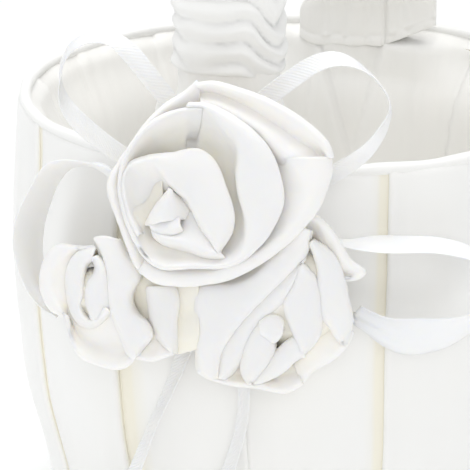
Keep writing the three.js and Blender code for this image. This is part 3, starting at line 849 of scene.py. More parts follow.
make_skirt()
make_rim()
make_lining()
make_floor_pad()
make_sleeve()
make_cuff("front", -1)
make_cuff("back", 1)

# ---------------------------------------------------------------- what the satin is wrapped round


def solid(name, grid, material):
    """A closed body on a grid that goes round, with a cap at each end."""
    rows, around = grid.shape[:2]
    last = (rows - 1) * around
    faces = ring_faces(rows, around)
    faces += [tuple(reversed(range(around))), tuple(range(last, last + around))]
    return build(name, grid.reshape(-1, 3), faces, own_places(grid, True), material)


def make_wadding():
    """The soft tube between the hoop and the sleeve."""
    foot = low("handle_wadding")[2]
    half_w, out = high("handle_wadding")[0] - 0.4, high("handle_wadding")[1] - HOOP_Y - 0.4
    total = 2 * (SHOULDER - foot) + math.pi * HOOP_Y
    rows = []
    for s in np.linspace(0.3, total - 0.3, 170):
        place, ahead = hoop_point(s, foot)
        away = np.array([0, -ahead[2], ahead[1]])
        ends = 1 - 0.25 * math.exp(-min(s, total - s) / 1.5)
        ring = []
        for turn in circle(40):
            x, d = sleeve_section(half_w, out, turn)
            lump = noise.noise(Vector((x / 5, d / 5, s / 8)))
            ring.append(place + (away * d + np.array([x, 0, 0])) * ends * (0.965 + 0.035 * lump))
        rows.append(ring)
    piece = solid("handle_wadding_pad", np.array(rows), UNDER["wadding"])
    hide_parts("handle_wadding")


def disc(name, node, slot, centre, axes, radius, thickness):
    """A round of felt or cloth, a little uneven, with a soft edge. axes are its two directions."""
    up = np.cross(*axes)
    rows = []
    for r in np.linspace(0.4, radius, 14):
        ring = []
        for a in circle(64):
            wobble = 1 + 0.012 * math.sin(5 * a + radius) * (r / radius) ** 3
            place = centre + (axes[0] * math.cos(a) + axes[1] * math.sin(a)) * r * wobble
            ring.append(place + up * 0.15 * noise.noise(Vector(place / 7)))
        rows.append(ring)
    piece = cloth(name, np.array(rows), thickness, UNDER[slot], wrap=True)
    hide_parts(node)


def make_under_cloths():
    """The cloth under the base board, and the felt the roses and ribbons are fixed to."""
    ex, ey, ez = np.eye(3)
    middle = (low("base_cloth") + high("base_cloth")) / 2
    radius = high("base_cloth")[0] - 0.4
    disc("base_cloth_round", "base_cloth", "base_cloth", middle, (ex, ey), radius, 0.4)
    middle = (low("flower_backing") + high("flower_backing")) / 2
    radius = high("flower_backing")[0] - middle[0] - 0.3
    disc("flower_backing_felt", "flower_backing", "felt", middle, (ex, ez), radius, 1.0)


make_wadding()
make_under_cloths()

# ---------------------------------------------------------------- the ribbons


def ribbon_grid(stops, width, ends, cup, flutter, seed):
    """A ribbon's middle surface through stops, each a point and the direction of its width."""
    points = np.array([s[0] for s in stops], float)
    sides = np.array([s[1] for s in stops], float)
    sides /= np.linalg.norm(sides, axis=1, keepdims=True)
    total = chords(curve(points, 400))[-1]
    count = int(total / STEP)
    line = curve(points, count)
    t = chords(points)
    sides = natural_cubic(t, sides, np.linspace(0, t[-1], count))
    ahead = np.gradient(line, axis=0)
    ahead /= np.linalg.norm(ahead, axis=1, keepdims=True)
    sides -= (sides * ahead).sum(axis=1, keepdims=True) * ahead
    sides /= np.linalg.norm(sides, axis=1, keepdims=True)
    up = np.cross(ahead, sides)
    s = np.linspace(0, total, count)
    grow = ends[0] + (1 - ends[0]) * smooth(s, 0, width * 1.3)
    grow *= ends[1] + (1 - ends[1]) * smooth(total - s, 0, width * 1.3)
    lift = noise_along(s / (width * 1.6), seed, 0.5) * flutter
    rows = []
    for v in np.linspace(-1, 1, 11):
        pinch = (1 - grow) * 2.2 * math.cos(v * 7.5)
        local = noise_along(s / (width * 0.9), v * 1.1, seed) * flutter * 0.7
        height = cup * (v * v - 0.4) + lift + local + pinch
        rows.append(line + sides * (v * width / 2 * grow)[:, None] + up * height[:, None])
    return np.array(rows), line


# Each ribbon: the places its middle passes through, with the direction of its width at each.
THIN_WIDTH, THIN_CLOTH = 4.9, 0.3
THIN = {
    "thin_bow_loop_left": [
        ((-5, -87.6, 144), (0.9, 0, 0.45)),
        ((-11, -90.5, 153), (0.85, 0.2, 0.5)),
        ((-17.5, -92.5, 162), (0.7, 0.3, 0.6)),
        ((-26, -93, 169.5), (0.2, 0.9, 0.4)),
        ((-36, -92, 167.5), (-0.3, 0.9, 0.3)),
        ((-41, -91, 159.5), (-0.4, 0.92, -0.1)),
        ((-39.5, -92, 151), (0.1, 0.9, 0.3)),
        ((-31, -92.5, 142.5), (0.55, 0.35, 0.75)),
        ((-21, -91.5, 136), (0.5, 0.2, 0.85)),
        ((-11.5, -89, 131), (0.4, 0, 0.9)),
    ],
    "thin_bow_loop_right": [
        ((7, -87.6, 148), (-0.75, 0, 0.65)),
        ((14.5, -90, 155.5), (-0.7, 0.1, 0.7)),
        ((24, -92, 163.5), (-0.5, 0.4, 0.8)),
        ((34, -93, 168.8), (-0.3, 0.75, 0.5)),
        ((43, -92, 165.5), (-0.28, 0.93, -0.1)),
        ((48, -91, 157.5), (-0.2, 0.93, -0.3)),
        ((45.5, -91, 149), (0.25, 0.85, -0.45)),
        ((38.5, -90.5, 141), (0.6, 0.5, -0.6)),
        ((29, -89.6, 135), (0.5, 0.1, -0.85)),
        ((20, -89, 131), (0.4, 0, -0.9)),
    ],
    "thin_bow_tail_left": [
        ((-5, -87.3, 104), (0.95, 0, 0.3)),
        ((-6.5, -88, 90), (0.9, -0.2, 0.25)),
        ((-10, -88, 78), (0.8, -0.5, 0.3)),
        ((-15, -88, 66), (0.7, -0.65, 0.3)),
        ((-20.5, -86.5, 53), (0.7, -0.65, 0.3)),
        ((-25.5, -83.5, 40), (0.8, -0.5, 0.3)),
        ((-29.5, -80.5, 27), (0.9, -0.1, 0.25)),
        ((-31, -78.3, 15), (0.95, 0.3, 0.1)),
    ],
    "thin_bow_tail_right": [
        ((5, -87.3, 104), (0.95, 0, 0.1)),
        ((8, -87.8, 90), (0.9, -0.2, 0)),
        ((8.6, -87.8, 78), (0.8, -0.5, 0.1)),
        ((8.2, -87.6, 66), (0.75, -0.6, 0.15)),
        ((5.2, -86.8, 53.5), (0.75, -0.6, 0.25)),
        ((1, -84.6, 41), (0.85, -0.3, 0.3)),
        ((-2.5, -81.5, 29), (0.95, 0.2, 0.2)),
        ((-3.5, -80, 19), (1, 0.1, 0.1)),
    ],
}
WIDE_WIDTH, WIDE_CLOTH = 15.5, 0.35
WIDE_LOOPS = {
    "wide_bow_loop_left": [
        ((-19, -88.4, 119), (0.2, 0, 1)),
        ((-24, -88, 126.5), (0, -0.5, 0.85)),
        ((-33, -85, 131.5), (0, -0.93, 0.35)),
        ((-44.5, -81, 129.5), (-0.05, -0.93, 0.4)),
        ((-51.5, -80.3, 120), (-0.15, -0.95, 0.2)),
        ((-54.6, -80.2, 109), (-0.2, -0.97, 0.05)),
        ((-53.5, -80.3, 98), (-0.12, -0.98, 0.08)),
        ((-50, -81, 91.5), (-0.1, -0.97, 0.15)),
        ((-44.5, -82.5, 88), (-0.2, -0.9, 0.35)),
    ],
    "wide_bow_loop_right": [
        ((21, -87.6, 117.5), (0, -0.3, 0.95)),
        ((32, -87, 118.2), (0.2, -0.9, 0.35)),
        ((45, -83.5, 118), (0.35, -0.93, 0.05)),
        ((58, -77.5, 117), (0.5, -0.86, 0)),
        ((69, -71, 112), (0.55, -0.83, 0)),
        ((73, -69, 103), (0.5, -0.8, 0.3)),
        ((68, -73.5, 95), (0.3, -0.7, 0.65)),
        ((57.5, -79.5, 91), (0.15, -0.55, 0.8)),
        ((47, -84.5, 93), (0.1, -0.5, 0.85)),
        ((38.5, -87.5, 98.5), (0.3, -0.6, 0.75)),
    ],
}


def make_thin_ribbons():
    """The narrow bow's loops and tails, each a strip of satin through its stops."""
    for k, (name, stops) in enumerate(THIN.items()):
        grid, line = ribbon_grid(stops, THIN_WIDTH, (1, 1), 0.25, 0.25, 3.7 * k)
        piece = cloth(f"{name}_satin", grid, THIN_CLOTH, THIN_RIBBON)
        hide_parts(name)


def make_wide_ribbons():
    """The wide bow's folded loops, behind the roses."""
    for k, (name, stops) in enumerate(WIDE_LOOPS.items()):
        grid, _ = ribbon_grid(stops, WIDE_WIDTH, (0.45, 0.5), 0.9, 1.0, 9.1 + 5 * k)
        piece = cloth(f"{name}_satin", grid, WIDE_CLOTH, WIDE)
        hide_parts(name)


make_thin_ribbons()
make_wide_ribbons()

# ---------------------------------------------------------------- the roses

# Each rose: the middle of its face, the height of that above its felt, the way it faces (round the basket
# and up, in degrees), and the radius of its felt.
ROSES = {
    "large": ((4.3, -100, 134.6), 10, (4, 8), 12.6),
    "left": ((-28.1, -95, 97.9), 9, (-20, 2), 8.4),
    "right": ((19, -97, 99.3), 8.4, (12, -4), 10.6),
}
# Which pieces of the frame each petal stands for.
PETAL_NODES = {
    "large": {
        "bowl": ["petal_1", "petal_2"],
        "scroll": ["petal_3"],
        "bud_leaf": ["bud"],
        "bud_tongue": ["bud"],
        "bud_cup": ["bud"],
        "right_back": ["petal_4", "petal_5"],
        "right_front": ["petal_6", "petal_7"],
        "left_outer": ["petal_8"],
    },
    "left": {
        "whorl_left": ["bud"],
        "whorl_right": ["petal_1"],
        "left_lobe": ["petal_2"],
        "bowl": ["petal_3"],
        "broad": ["petal_4"],
        "side_fold": ["petal_5"],
        "recess": ["petal_5"],
        "low_fold": ["petal_5"],
    },
    "right": {
        "big_left": ["petal_1"],
        "second_left": ["petal_2"],
        "inner_right": ["petal_3"],
        "bud_roll": ["bud"],
        "inner_leaf": ["petal_4"],
        "low_leaf": ["petal_5"],
        "outer_right": ["petal_6"],
        "back_right": ["petal_7"],
        "bottom_bowl": ["petal_8"],
        "side_low": ["petal_8"],
    },
}
# The petals, each as rows from its root over its lip. A row is its height above the felt and the places it
# passes through, across and up from the rose's middle as one looks at the basket from the front right.
# The places were picked on the enlarged photograph, and turned into millimetres for this table. A scratch
# program turned them into millimetres and printed this table.
PETALS = {
    "large": {
        "bowl": [
            (10.4, [(-4.7, 10.9), (-8.7, 10.3), (-12.2, 8.6), (-15.5, 5.2), (-17, 2), (-17.3, -1.2),
                (-16.6, -5.1), (-14.8, -9.6), (-12.9, -12.2), (-10.6, -13.3), (-6.4, -13.1), (-1.9, -13.2),
                (1.3, -11.8), (2.7, -9), (2.6, -4.8), (1.6, 0.7), (1.3, 5.2), (-1.3, 8.5), (-4.4, 11.5),
                (-7.2, 12)]),
            (12.8, [(-3.6, 17.2), (-9.7, 16.4), (-15, 13.8), (-19.8, 8.8), (-22.1, 3.9), (-22.6, -0.9),
                (-21.5, -6.7), (-18.8, -13.5), (-15.9, -17.3), (-12.6, -19), (-6.3, -18.8), (0.5, -18.9),
                (5.3, -16.8), (7.5, -12.5), (7.2, -6.2), (5.8, 2), (5.3, 8.8), (1.5, 13.6), (-3.3, 17.8),
                (-7, 18.2)]),
            (15.5, [(-3.3, 19.3), (-10, 18.4), (-15.9, 15.6), (-21.3, 10), (-23.8, 4.6), (-24.4, -0.8),
                (-23.1, -7.2), (-20.2, -14.7), (-17, -19), (-13.2, -20.9), (-6.2, -20.7), (1.3, -20.8),
                (6.7, -18.5), (9.1, -13.7), (8.8, -6.7), (7.2, 2.4), (6.7, 10), (2.4, 15.3), (-3, 19.9),
                (-7, 20.2)]),
            (15.4, [(-3.1, 19.5), (-10.1, 18.7), (-16.2, 15.9), (-21.6, 10.2), (-24.2, 4.7), (-24.7, -0.8),
                (-23.5, -7.4), (-20.5, -15), (-17.2, -19.4), (-13.3, -21.3), (-6.2, -21.1), (1.5, -21.1),
                (8.3, -18), (11.9, -12.6), (13.1, -5.9), (11.9, 2.4), (10.1, 9.7), (4.8, 15.6), (-2.6, 20.2),
                (-6.8, 20.6)]),
            (14.1, [(-2.9, 19.7), (-10.3, 19), (-16.4, 16.1), (-21.9, 10.4), (-24.5, 4.8), (-25, -0.9),
                (-23.8, -7.6), (-20.7, -15.2), (-17.4, -19.7), (-13.5, -21.6), (-6.1, -21.5), (1.7, -21.5),
                (9.9, -17.4), (14.7, -11.5), (17.4, -5.1), (16.6, 2.4), (13.6, 9.4), (7.2, 15.8),
                (-2.2, 20.7), (-6.5, 21)]),
        ],
        "scroll": [
            (9, [(-17, -12.6), (-17.5, -10.5), (-17.5, -8.3), (-17, -6.2), (-15.6, -4.5), (-14.3, -3.5),
                (-12.7, -2.9), (-11.1, -3.5), (-9.4, -4), (-8.4, -5.1), (-7, -6.7), (-5.7, -9.4),
                (-3.5, -13.7), (-0.9, -16.9)]),
            (12.4, [(-18.8, -12.6), (-20.5, -9.4), (-21.3, -6.2), (-21.2, -2.4), (-20.2, 0.8), (-17.8, 2.7),
                (-15.1, 3), (-12.9, 1.6), (-10.5, -0.8), (-8.4, -2.7), (-6.5, -4.5), (-4.9, -8.3),
                (-2.5, -12.6), (0.1, -16.8)]),
            (15.2, [(-19.7, -12.6), (-21.8, -8.3), (-23, -3.5), (-23.3, 1.4), (-22.1, 3.9), (-19.1, 5.4),
                (-16.2, 5.7), (-13.6, 3.8), (-11.1, 1.1), (-8.6, -1.1), (-6.5, -2.9), (-4.6, -6.7),
                (-2, -11.5), (0.3, -16.6)]),
            (15.6, [(-19.9, -12.9), (-22.2, -8.6), (-23.4, -3.6), (-23.7, 1.6), (-22.4, 4.4), (-19.1, 6.1),
                (-15.5, 6.8), (-11.9, 6.2), (-7.8, 5.1), (-4.6, 2.7), (-1.9, -1.6), (0, -6.7), (1.3, -11.8),
                (0.8, -17.2)]),
            (14.2, [(-20.2, -13.1), (-22.6, -8.7), (-23.8, -3.7), (-24.1, 1.8), (-22.8, 5), (-19.1, 6.9),
                (-14.8, 8), (-10, 8.4), (-4.6, 9.1), (-0.3, 6.2), (2.6, -0.3), (4.7, -6.7), (4.5, -11.5),
                (1.3, -17.5)]),
        ],
        "bud_leaf": [
            (11.5, [(-12.1, -1.3), (-14.6, -4), (-16.7, -7.5), (-18, -10.2)]),
            (14.8, [(-11.6, -1.2), (-13.6, -4), (-15.5, -7.2), (-16.7, -10.2)]),
            (15.7, [(-11.4, -1.4), (-12.1, -4.5), (-12.9, -7.2), (-13.6, -9.4)]),
            (13.7, [(-11.2, -1.6), (-9.7, -4.8), (-9.2, -7), (-9.4, -8.8)]),
            (10.8, [(-10.5, -1.9), (-7.8, -5.1), (-6.8, -7.2), (-7.3, -8.8)]),
        ],
        "bud_tongue": [
            (13.6, [(-16.3, -8.8), (-14.6, -8.6), (-12.1, -8.4), (-9.4, -8.1)]),
            (14.4, [(-16.6, -10), (-14.6, -9.8), (-12.1, -9.5), (-9.3, -8.8)]),
            (15.3, [(-16.5, -11.3), (-14.4, -12), (-12, -11.7), (-9.2, -10.2)]),
            (14.7, [(-16, -12), (-14.2, -12.8), (-11.7, -12.7), (-8.8, -11.2)]),
            (12.7, [(-15.1, -12.1), (-13.5, -13), (-11.1, -13), (-8.4, -11.8)]),
        ],
        "bud_cup": [
            (11.2, [(-16.2, -11.3), (-11.6, -11.6), (-7.8, -8.8), (-4.6, -7), (-1.9, -11.5), (0.8, -16.9)]),
            (13.3, [(-15.8, -12.2), (-11.6, -13.1), (-6.8, -12.1), (-3.5, -13.1), (-0.9, -15.6),
                (1.3, -17.5)]),
            (15.4, [(-16.3, -12), (-14.3, -13.4), (-11.6, -14.3), (-6.2, -15.9), (-1.9, -17.6), (1.7, -18)]),
            (14.6, [(-16.2, -12.5), (-14.3, -14), (-11.6, -14.9), (-6.2, -16.6), (-1.9, -18.3),
                (2.1, -18.5)]),
            (10.2, [(-14.8, -14.7), (-10, -16.9), (-5.2, -18.5), (-0.9, -19.3), (2.9, -19)]),
        ],
        "right_back": [
            (9, [(-3.5, 18), (-0.3, 16.9), (4, 14.5), (7.7, 11.6), (11, 8.3), (13.6, 5.7), (15.3, 4)]),
            (12.5, [(-3.5, 21.5), (-0.3, 21), (4, 19.2), (7.7, 17.2), (11.5, 15.1), (15.3, 12.1),
                (18.5, 9.4), (20.6, 7.8), (21.7, 6.5)]),
            (9, [(-4, 23.9), (-0.9, 23.9), (4, 22.4), (8.8, 20.2), (13.6, 17.2), (18.5, 14), (23.3, 10.5),
                (26.5, 8.3), (27.9, 6.8)]),
            (12.7, [(-4.6, 25.5), (-0.9, 25.8), (4.5, 24.4), (9.9, 22.6), (15.3, 20.2), (20.6, 16.9),
                (26, 12.6), (28.8, 9.4), (29.6, 7)]),
            (12, [(-4.7, 26.1), (-0.8, 26.5), (4.8, 25.1), (10.3, 23.3), (15.8, 20.8), (21.2, 17.6),
                (26.5, 13.3), (29.4, 9.7), (30.3, 7)]),
        ],
        "right_front": [
            (10.9, [(14.2, 6.6), (15.3, 4.6), (15.8, 1.9), (16.1, -1.9), (15.3, -5.6), (13.1, -9.4),
                (9.9, -12.6), (6.7, -14.7), (3.4, -16.4), (0.2, -17.4), (-3, -18), (-6.2, -18), (-10, -17.7),
                (-13.7, -16.9), (-16.4, -15.3)]),
            (11.8, [(16.9, 6.6), (17.9, 4.6), (18.9, 1.9), (19.4, -1.9), (19.3, -5.6), (17.3, -9.4),
                (14.2, -13.1), (10.4, -16.4), (6.7, -18.6), (2.4, -20.4), (-1.9, -21.5), (-6.2, -21.7),
                (-10.5, -21.5), (-14.8, -20.4), (-17.8, -18.5)]),
            (13.2, [(20.4, 6.7), (22, 4.3), (23.1, 1.4), (23.7, -2.4), (22.8, -6.2), (19.8, -10.7),
                (16.3, -14.2), (12.6, -17), (7.7, -19.7), (2.9, -21.8), (-1.4, -23.2), (-6.2, -23.7),
                (-10.5, -23.6), (-14.8, -22.6), (-18.5, -20.4)]),
            (12.8, [(26, 6.8), (26.5, 4.2), (26.5, 1.1), (26, -2.8), (24.6, -6.6), (21.6, -10.9),
                (17.9, -14.5), (14.2, -17.5), (9, -20.8), (3.9, -23.1), (-1, -24.6), (-6.2, -25.2),
                (-11.1, -25.1), (-15.5, -24.1), (-19.2, -21.5)]),
            (11.6, [(29.7, 6.8), (30, 4), (29.3, 0.8), (27.9, -3.2), (26, -7), (22.9, -11.1), (19.1, -14.9),
                (15.4, -18), (10, -21.5), (4.6, -24.1), (-0.9, -25.6), (-6.2, -26.2), (-11.6, -26.1),
                (-16, -25.1), (-19.8, -22.2)]),
        ],
        "left_outer": [
            (8.4, [(-14.3, -17.4), (-15.4, -14.7), (-17, -11.5), (-18, -8.3), (-18.8, -4), (-19.1, -0.8),
                (-18.8, 1.9), (-18, 4.6), (-16.4, 7.3), (-14.3, 10), (-11.6, 12.6), (-8.9, 14.8),
                (-6.2, 16.4), (-4.1, 17.5)]),
            (10.8, [(-17, -20.1), (-19.1, -16.9), (-21, -12.6), (-22.6, -8.3), (-23.9, -4), (-24.7, -0.8),
                (-24.6, 1.9), (-23.6, 5.1), (-21.5, 8.3), (-18.8, 11.8), (-15.6, 15.3), (-12.1, 18),
                (-8.9, 19.6), (-6.2, 20.7), (-3.8, 22.3)]),
            (12.1, [(-18.8, -22.7), (-20.7, -19.6), (-22.6, -14.7), (-24.5, -9.9), (-26.2, -5.1),
                (-27.1, -1.9), (-26.7, 1.4), (-25.5, 3.8), (-23.1, 7.5), (-20.5, 11.3), (-17, 15.6),
                (-13.5, 19.2), (-10, 21.7), (-7, 23.6), (-4.5, 25.8)]),
            (11.2, [(-19.4, -23.1), (-21.4, -19.9), (-23.2, -15.1), (-25.1, -10.2), (-26.8, -5.3),
                (-27.7, -1.9), (-27.3, 1.7), (-25.9, 4.3), (-23.6, 8), (-20.9, 11.8), (-17.5, 16.2),
                (-14, 19.8), (-10.4, 22.3), (-7.3, 24.3), (-4.6, 26.4)]),
        ],
    },
    "left": {
        "whorl_left": [
            (7.8, [(-2.8, 13.3), (-7.2, 12.1), (-10, 8.5), (-10.8, 4.9), (-10.6, 1.3), (-9.8, -2.7),
                (-7.6, -6.3), (-4.4, -7.5), (-1.2, -6.3), (1.6, -3.1)]),
            (10.6, [(-2.4, 13.9), (-7, 12.8), (-9.5, 8.9), (-10.2, 5.3), (-10, 1.7), (-9.3, -2.3),
                (-7.1, -5.9), (-4.3, -6.9), (-1.4, -5.9), (1.3, -2.8)]),
            (11.9, [(-2.8, 12.9), (-6.2, 11.7), (-8.4, 8.5), (-9, 5.3), (-8.6, 1.7), (-8, -1.9),
                (-6.5, -5.2), (-4.3, -6.4), (-1.8, -5.4), (1, -2.5)]),
            (12.3, [(-3.2, 11.7), (-5.1, 10.9), (-6.6, 7.7), (-7.2, 4.1), (-7.1, 1.3), (-7.3, -1.1),
                (-6.4, -4.3), (-4.7, -5.8), (-2.3, -5), (0.5, -2.2)]),
            (9.1, [(-3, 10.9), (-4.3, 9.7), (-5.5, 7.3), (-6, 4.1), (-6.1, 1.3), (-6.2, -1.1), (-5.5, -3.9),
                (-4.3, -5), (-2.8, -4.3), (-0.8, -1.9)]),
        ],
        "whorl_right": [
            (8.2, [(-3.5, 10.8), (-2.6, 9.3), (-2.9, 7.3), (-4.3, 4.9), (-5.1, 2.7), (-5.1, -0.3),
                (-4.5, -2.7), (-4.1, -4.7)]),
            (12.2, [(-3, 11.3), (-1.9, 9.3), (-2.1, 7.3), (-3.5, 4.9), (-4.3, 2.5), (-4.4, -0.3),
                (-3.8, -2.7), (-3.5, -4.9)]),
            (12.7, [(-2.3, 11.6), (-0.7, 9.3), (-0.5, 6.5), (-1.4, 3.7), (-1.9, 0.9), (-1.9, -1.1),
                (-1.8, -3.1), (-2.4, -4.9)]),
            (11.3, [(-1.8, 11.7), (0, 9.7), (0.7, 6.5), (0.9, 3.3), (1, 0.5), (1.2, -1.5), (1, -2.6),
                (-1.2, -4.7)]),
            (7.8, [(-1.6, 11.7), (0.6, 9.7), (1.4, 6.5), (1.6, 3.3), (1.7, 0.5), (1.8, -1.5), (1.6, -2.7),
                (-0.8, -5.1)]),
        ],
        "left_lobe": [
            (7.8, [(-2.8, 13.5), (-6.8, 12.1), (-9.4, 8.9), (-10, 5.3), (-9.8, 2.1), (-10, -1.1),
                (-10.4, -4.3)]),
            (9, [(-3.4, 13.7), (-8.4, 12.5), (-11.4, 9.7), (-12.4, 6.1), (-12.4, 2.9), (-12, -0.3),
                (-10.9, -4)]),
            (10.7, [(-3.4, 14), (-9.4, 13.3), (-13.6, 10.5), (-15.3, 6.5), (-15.3, 3.3), (-14, -0.3),
                (-11.3, -4)]),
            (10.5, [(-2.9, 14.2), (-8, 13.9), (-13.4, 13.9), (-15.7, 10.9), (-17.3, 6.9), (-17.6, 4.1),
                (-16.8, 0.9), (-14.8, -2.4), (-12, -3.7), (-10.9, -4.4)]),
            (9.5, [(-2.9, 14.6), (-8, 14.3), (-13.8, 14.3), (-16.2, 11.2), (-17.8, 7.1), (-18, 4.1),
                (-17.2, 0.7), (-15.1, -2.8), (-12.2, -4.3), (-11.1, -4.8)]),
        ],
        "bowl": [
            (8.5, [(-10.2, -3.1), (-8, -6.7), (-4.4, -7.6), (-1.2, -6.5), (1.6, -3.5)]),
            (7.6, [(-10.1, -5.1), (-7.6, -9.9), (-4, -11.9), (0, -12.5), (3.6, -12.7), (6, -13.5)]),
            (10, [(-10.4, -4.7), (-9, -10.3), (-6, -13.9), (-2, -15.7), (1.6, -16.5), (4.4, -16.3),
                (6.9, -14.7)]),
            (10.7, [(-10.8, -4.3), (-10.1, -7.5), (-8.8, -11.9), (-6.8, -14.7), (-2.8, -16.7), (1.6, -17.7),
                (4.8, -17.5), (7.2, -15.7), (8.1, -14.1)]),
            (9.8, [(-11.2, -4.4), (-10.6, -7.6), (-9.3, -12.1), (-7.2, -15.1), (-3.1, -17.2), (1.6, -18.3),
                (5, -18), (7.7, -16), (8.6, -14.2)]),
        ],
        "broad": [
            (7.8, [(-1.8, 16.5), (0, 13.3), (1, 9.3), (1.6, 4.5), (1.8, -0.3), (2.4, -4.3), (4, -9.1),
                (5.6, -13.1), (7.6, -15.7)]),
            (11.4, [(-2.4, 16.5), (-0.4, 12.9), (0.6, 8.9), (1.2, 4.5), (1.4, 0.5), (1.8, -2.7), (3.4, -6.7),
                (5, -10.7), (6.2, -13.9), (8, -15.4)]),
            (12.4, [(0.6, 16.9), (2.8, 12.5), (4, 8.1), (4, 3.3), (4, -1.1), (5.6, -5.1), (7.6, -9.1),
                (8.2, -12.3), (8.5, -14.5)]),
            (11.4, [(3.6, 16.1), (6, 11.3), (8.7, 7.5), (7.3, 3.7), (6.6, -0.3), (8, -3.5), (10.9, -6.3),
                (11.7, -8.3), (10.1, -11.5), (8.6, -14.6)]),
            (7.8, [(4, 16.1), (6.8, 11.3), (9.6, 7.3), (8.2, 3.7), (7.6, -0.3), (9.2, -3.5), (12, -6.3),
                (12.6, -8.7), (11, -11.9), (9.2, -14.7)]),
        ],
        "side_fold": [
            (6.6, [(11.5, 2.5), (11.7, -1.1), (11.9, -5.1), (13.1, -8.3), (15.5, -11.9), (17.6, -13.9)]),
            (9.4, [(12, 3.5), (12.6, -1.1), (13.2, -5.1), (14.5, -8.3), (16.6, -11.7), (18, -13.7)]),
            (10.1, [(15.2, 3.7), (15.8, -0.3), (16.2, -4.3), (16.6, -7.9), (17.6, -11.3), (18.2, -13.7)]),
            (9.1, [(18.4, 3.7), (19, 0.5), (18.7, -3.5), (18.5, -6.7), (18.6, -10.7), (18.6, -13.7)]),
            (6.6, [(19.4, 3.7), (20, 0.5), (19.7, -3.5), (19.4, -6.7), (19.4, -10.7), (19.2, -13.9)]),
        ],
        "recess": [
            (6.4, [(7, 9.3), (13, 9.3), (18, 8.9), (24.8, 8.5)]),
            (7.4, [(7, 4.5), (13, 3.7), (18.5, 3.3), (25, 3)]),
            (6.8, [(7, -2.7), (13, -3.5), (19, -3.5), (25.2, -3)]),
            (7.2, [(7.5, -9.1), (13, -9.9), (19.5, -9.9), (25, -9)]),
            (5.2, [(9, -13.4), (14, -13.9), (20, -13.8), (24.8, -12.5)]),
        ],
        "low_fold": [
            (6.6, [(8.8, -12.7), (11.6, -9.1), (14, -9.5), (16.8, -11.9)]),
            (8.5, [(8.5, -13.9), (11.2, -13.1), (14, -13.1), (17.2, -12.9)]),
            (9.5, [(8.2, -14.9), (10.4, -15.3), (13.2, -15.4), (16, -14.4), (18.1, -13.6)]),
            (8.7, [(8.2, -15.4), (10.4, -15.8), (13.3, -15.9), (16.2, -14.8), (18.3, -14.1)]),
        ],
    },
    "right": {
        "big_left": [
            (7.2, [(3.8, 22.6), (-2.1, 15.5), (-10.7, 9.6), (-18.9, 7.8), (-20.3, 0.4), (-20.3, -6.4),
                (-19.8, -14.8)]),
            (10.3, [(5.6, 22.6), (-1.2, 14.6), (-10.2, 8.6), (-18.3, 7.2), (-19.6, 0.4), (-19.6, -6.4),
                (-19.2, -14.8)]),
            (12.4, [(7.9, 22.6), (3.8, 16.2), (-2.1, 10.8), (-8, 5.3), (-13.4, -1.4), (-16.6, -7.8),
                (-17, -16.2)]),
            (12.2, [(9.3, 22.1), (8.5, 18.5), (7.7, 16), (4, 11.7), (-2.1, 5.7), (-8, -0.6), (-11.9, -6),
                (-13.9, -10), (-14.5, -16.6)]),
            (9.1, [(10.2, 21.9), (9.4, 18.3), (8.4, 15.4), (4.8, 11.1), (-1.3, 5), (-7.3, -1.3),
                (-11.3, -6.4), (-13.3, -10.4), (-13.6, -16.6)]),
        ],
        "second_left": [
            (8.8, [(8.1, 17.8), (4.5, 12.1), (-1.6, 6.1), (-7.5, -0.3), (-11.6, -5.7), (-13.7, -10.3),
                (-14.3, -15.7)]),
            (11.3, [(8.3, 14.6), (5.6, 11.5), (-0.6, 5.4), (-6.6, -0.6), (-10.7, -5.7), (-12.8, -10.1),
                (-13.9, -16.2)]),
            (12.1, [(7.5, 13.7), (5.2, 9.4), (1.1, 4.7), (-3.9, -0.3), (-8, -5.2), (-10.4, -10),
                (-13.7, -16.6)]),
            (11.7, [(6.6, 11.9), (5.2, 8.5), (2.9, 4.9), (-1.2, 0.8), (-4.8, -3), (-7, -7.1), (-9.2, -11.4),
                (-13.3, -16.7)]),
            (7.8, [(7.1, 11.3), (5.8, 7.8), (3.9, 4), (0.1, -0.1), (-3.5, -3.8), (-5.8, -7.9), (-8, -12.3),
                (-12, -17.3)]),
        ],
        "inner_right": [
            (7.8, [(7.1, 10.7), (5.9, 7.2), (4.5, 4), (5.2, -0.5), (6.8, -5.1), (8.1, -9.1)]),
            (11.6, [(6.8, 11.9), (5.6, 8.1), (3.7, 4.7), (3.5, 2.2), (5.2, -3.3), (7.4, -9.4)]),
            (12.6, [(7.4, 13), (8, 9.4), (7.5, 4.9), (8, 0.4), (8.4, -4.2), (8, -9.4)]),
            (11.6, [(8, 13.3), (10.2, 10.4), (11.9, 5.8), (12.2, 0.4), (12.1, -3.7), (10.2, -7.3),
                (8, -10)]),
            (7.8, [(8.5, 13.3), (10.9, 10.8), (12.7, 5.8), (13.1, 0.4), (12.9, -4.2), (10.8, -8.2),
                (8.4, -10.6)]),
        ],
        "bud_roll": [
            (9.1, [(-3.5, -1.4), (-0.3, 0.1), (2.7, -1.2), (3.3, -3.3)]),
            (12.4, [(-3.2, -2.1), (-0.3, -0.8), (2.2, -1.8), (2.7, -3.3)]),
            (13.1, [(-3.2, -3.7), (-1.2, -3.3), (1.1, -3.7), (2.6, -4)]),
            (12.8, [(-2.9, -4.7), (-1.6, -5.5), (0, -6.1), (2.6, -4.4)]),
            (9.1, [(-2.5, -5.4), (-1.3, -6.3), (0.2, -7), (2.7, -5.3)]),
        ],
        "inner_leaf": [
            (7.8, [(-3.5, -1.4), (-7, -6.3), (-8, -11.4), (-7.6, -17.3)]),
            (11.3, [(-3, -1.7), (-6.4, -6.4), (-7.4, -11), (-7, -16.8), (-5.7, -18.3)]),
            (12.4, [(-2, -4.2), (-3.6, -8.2), (-4.8, -12.3), (-5.6, -17.7)]),
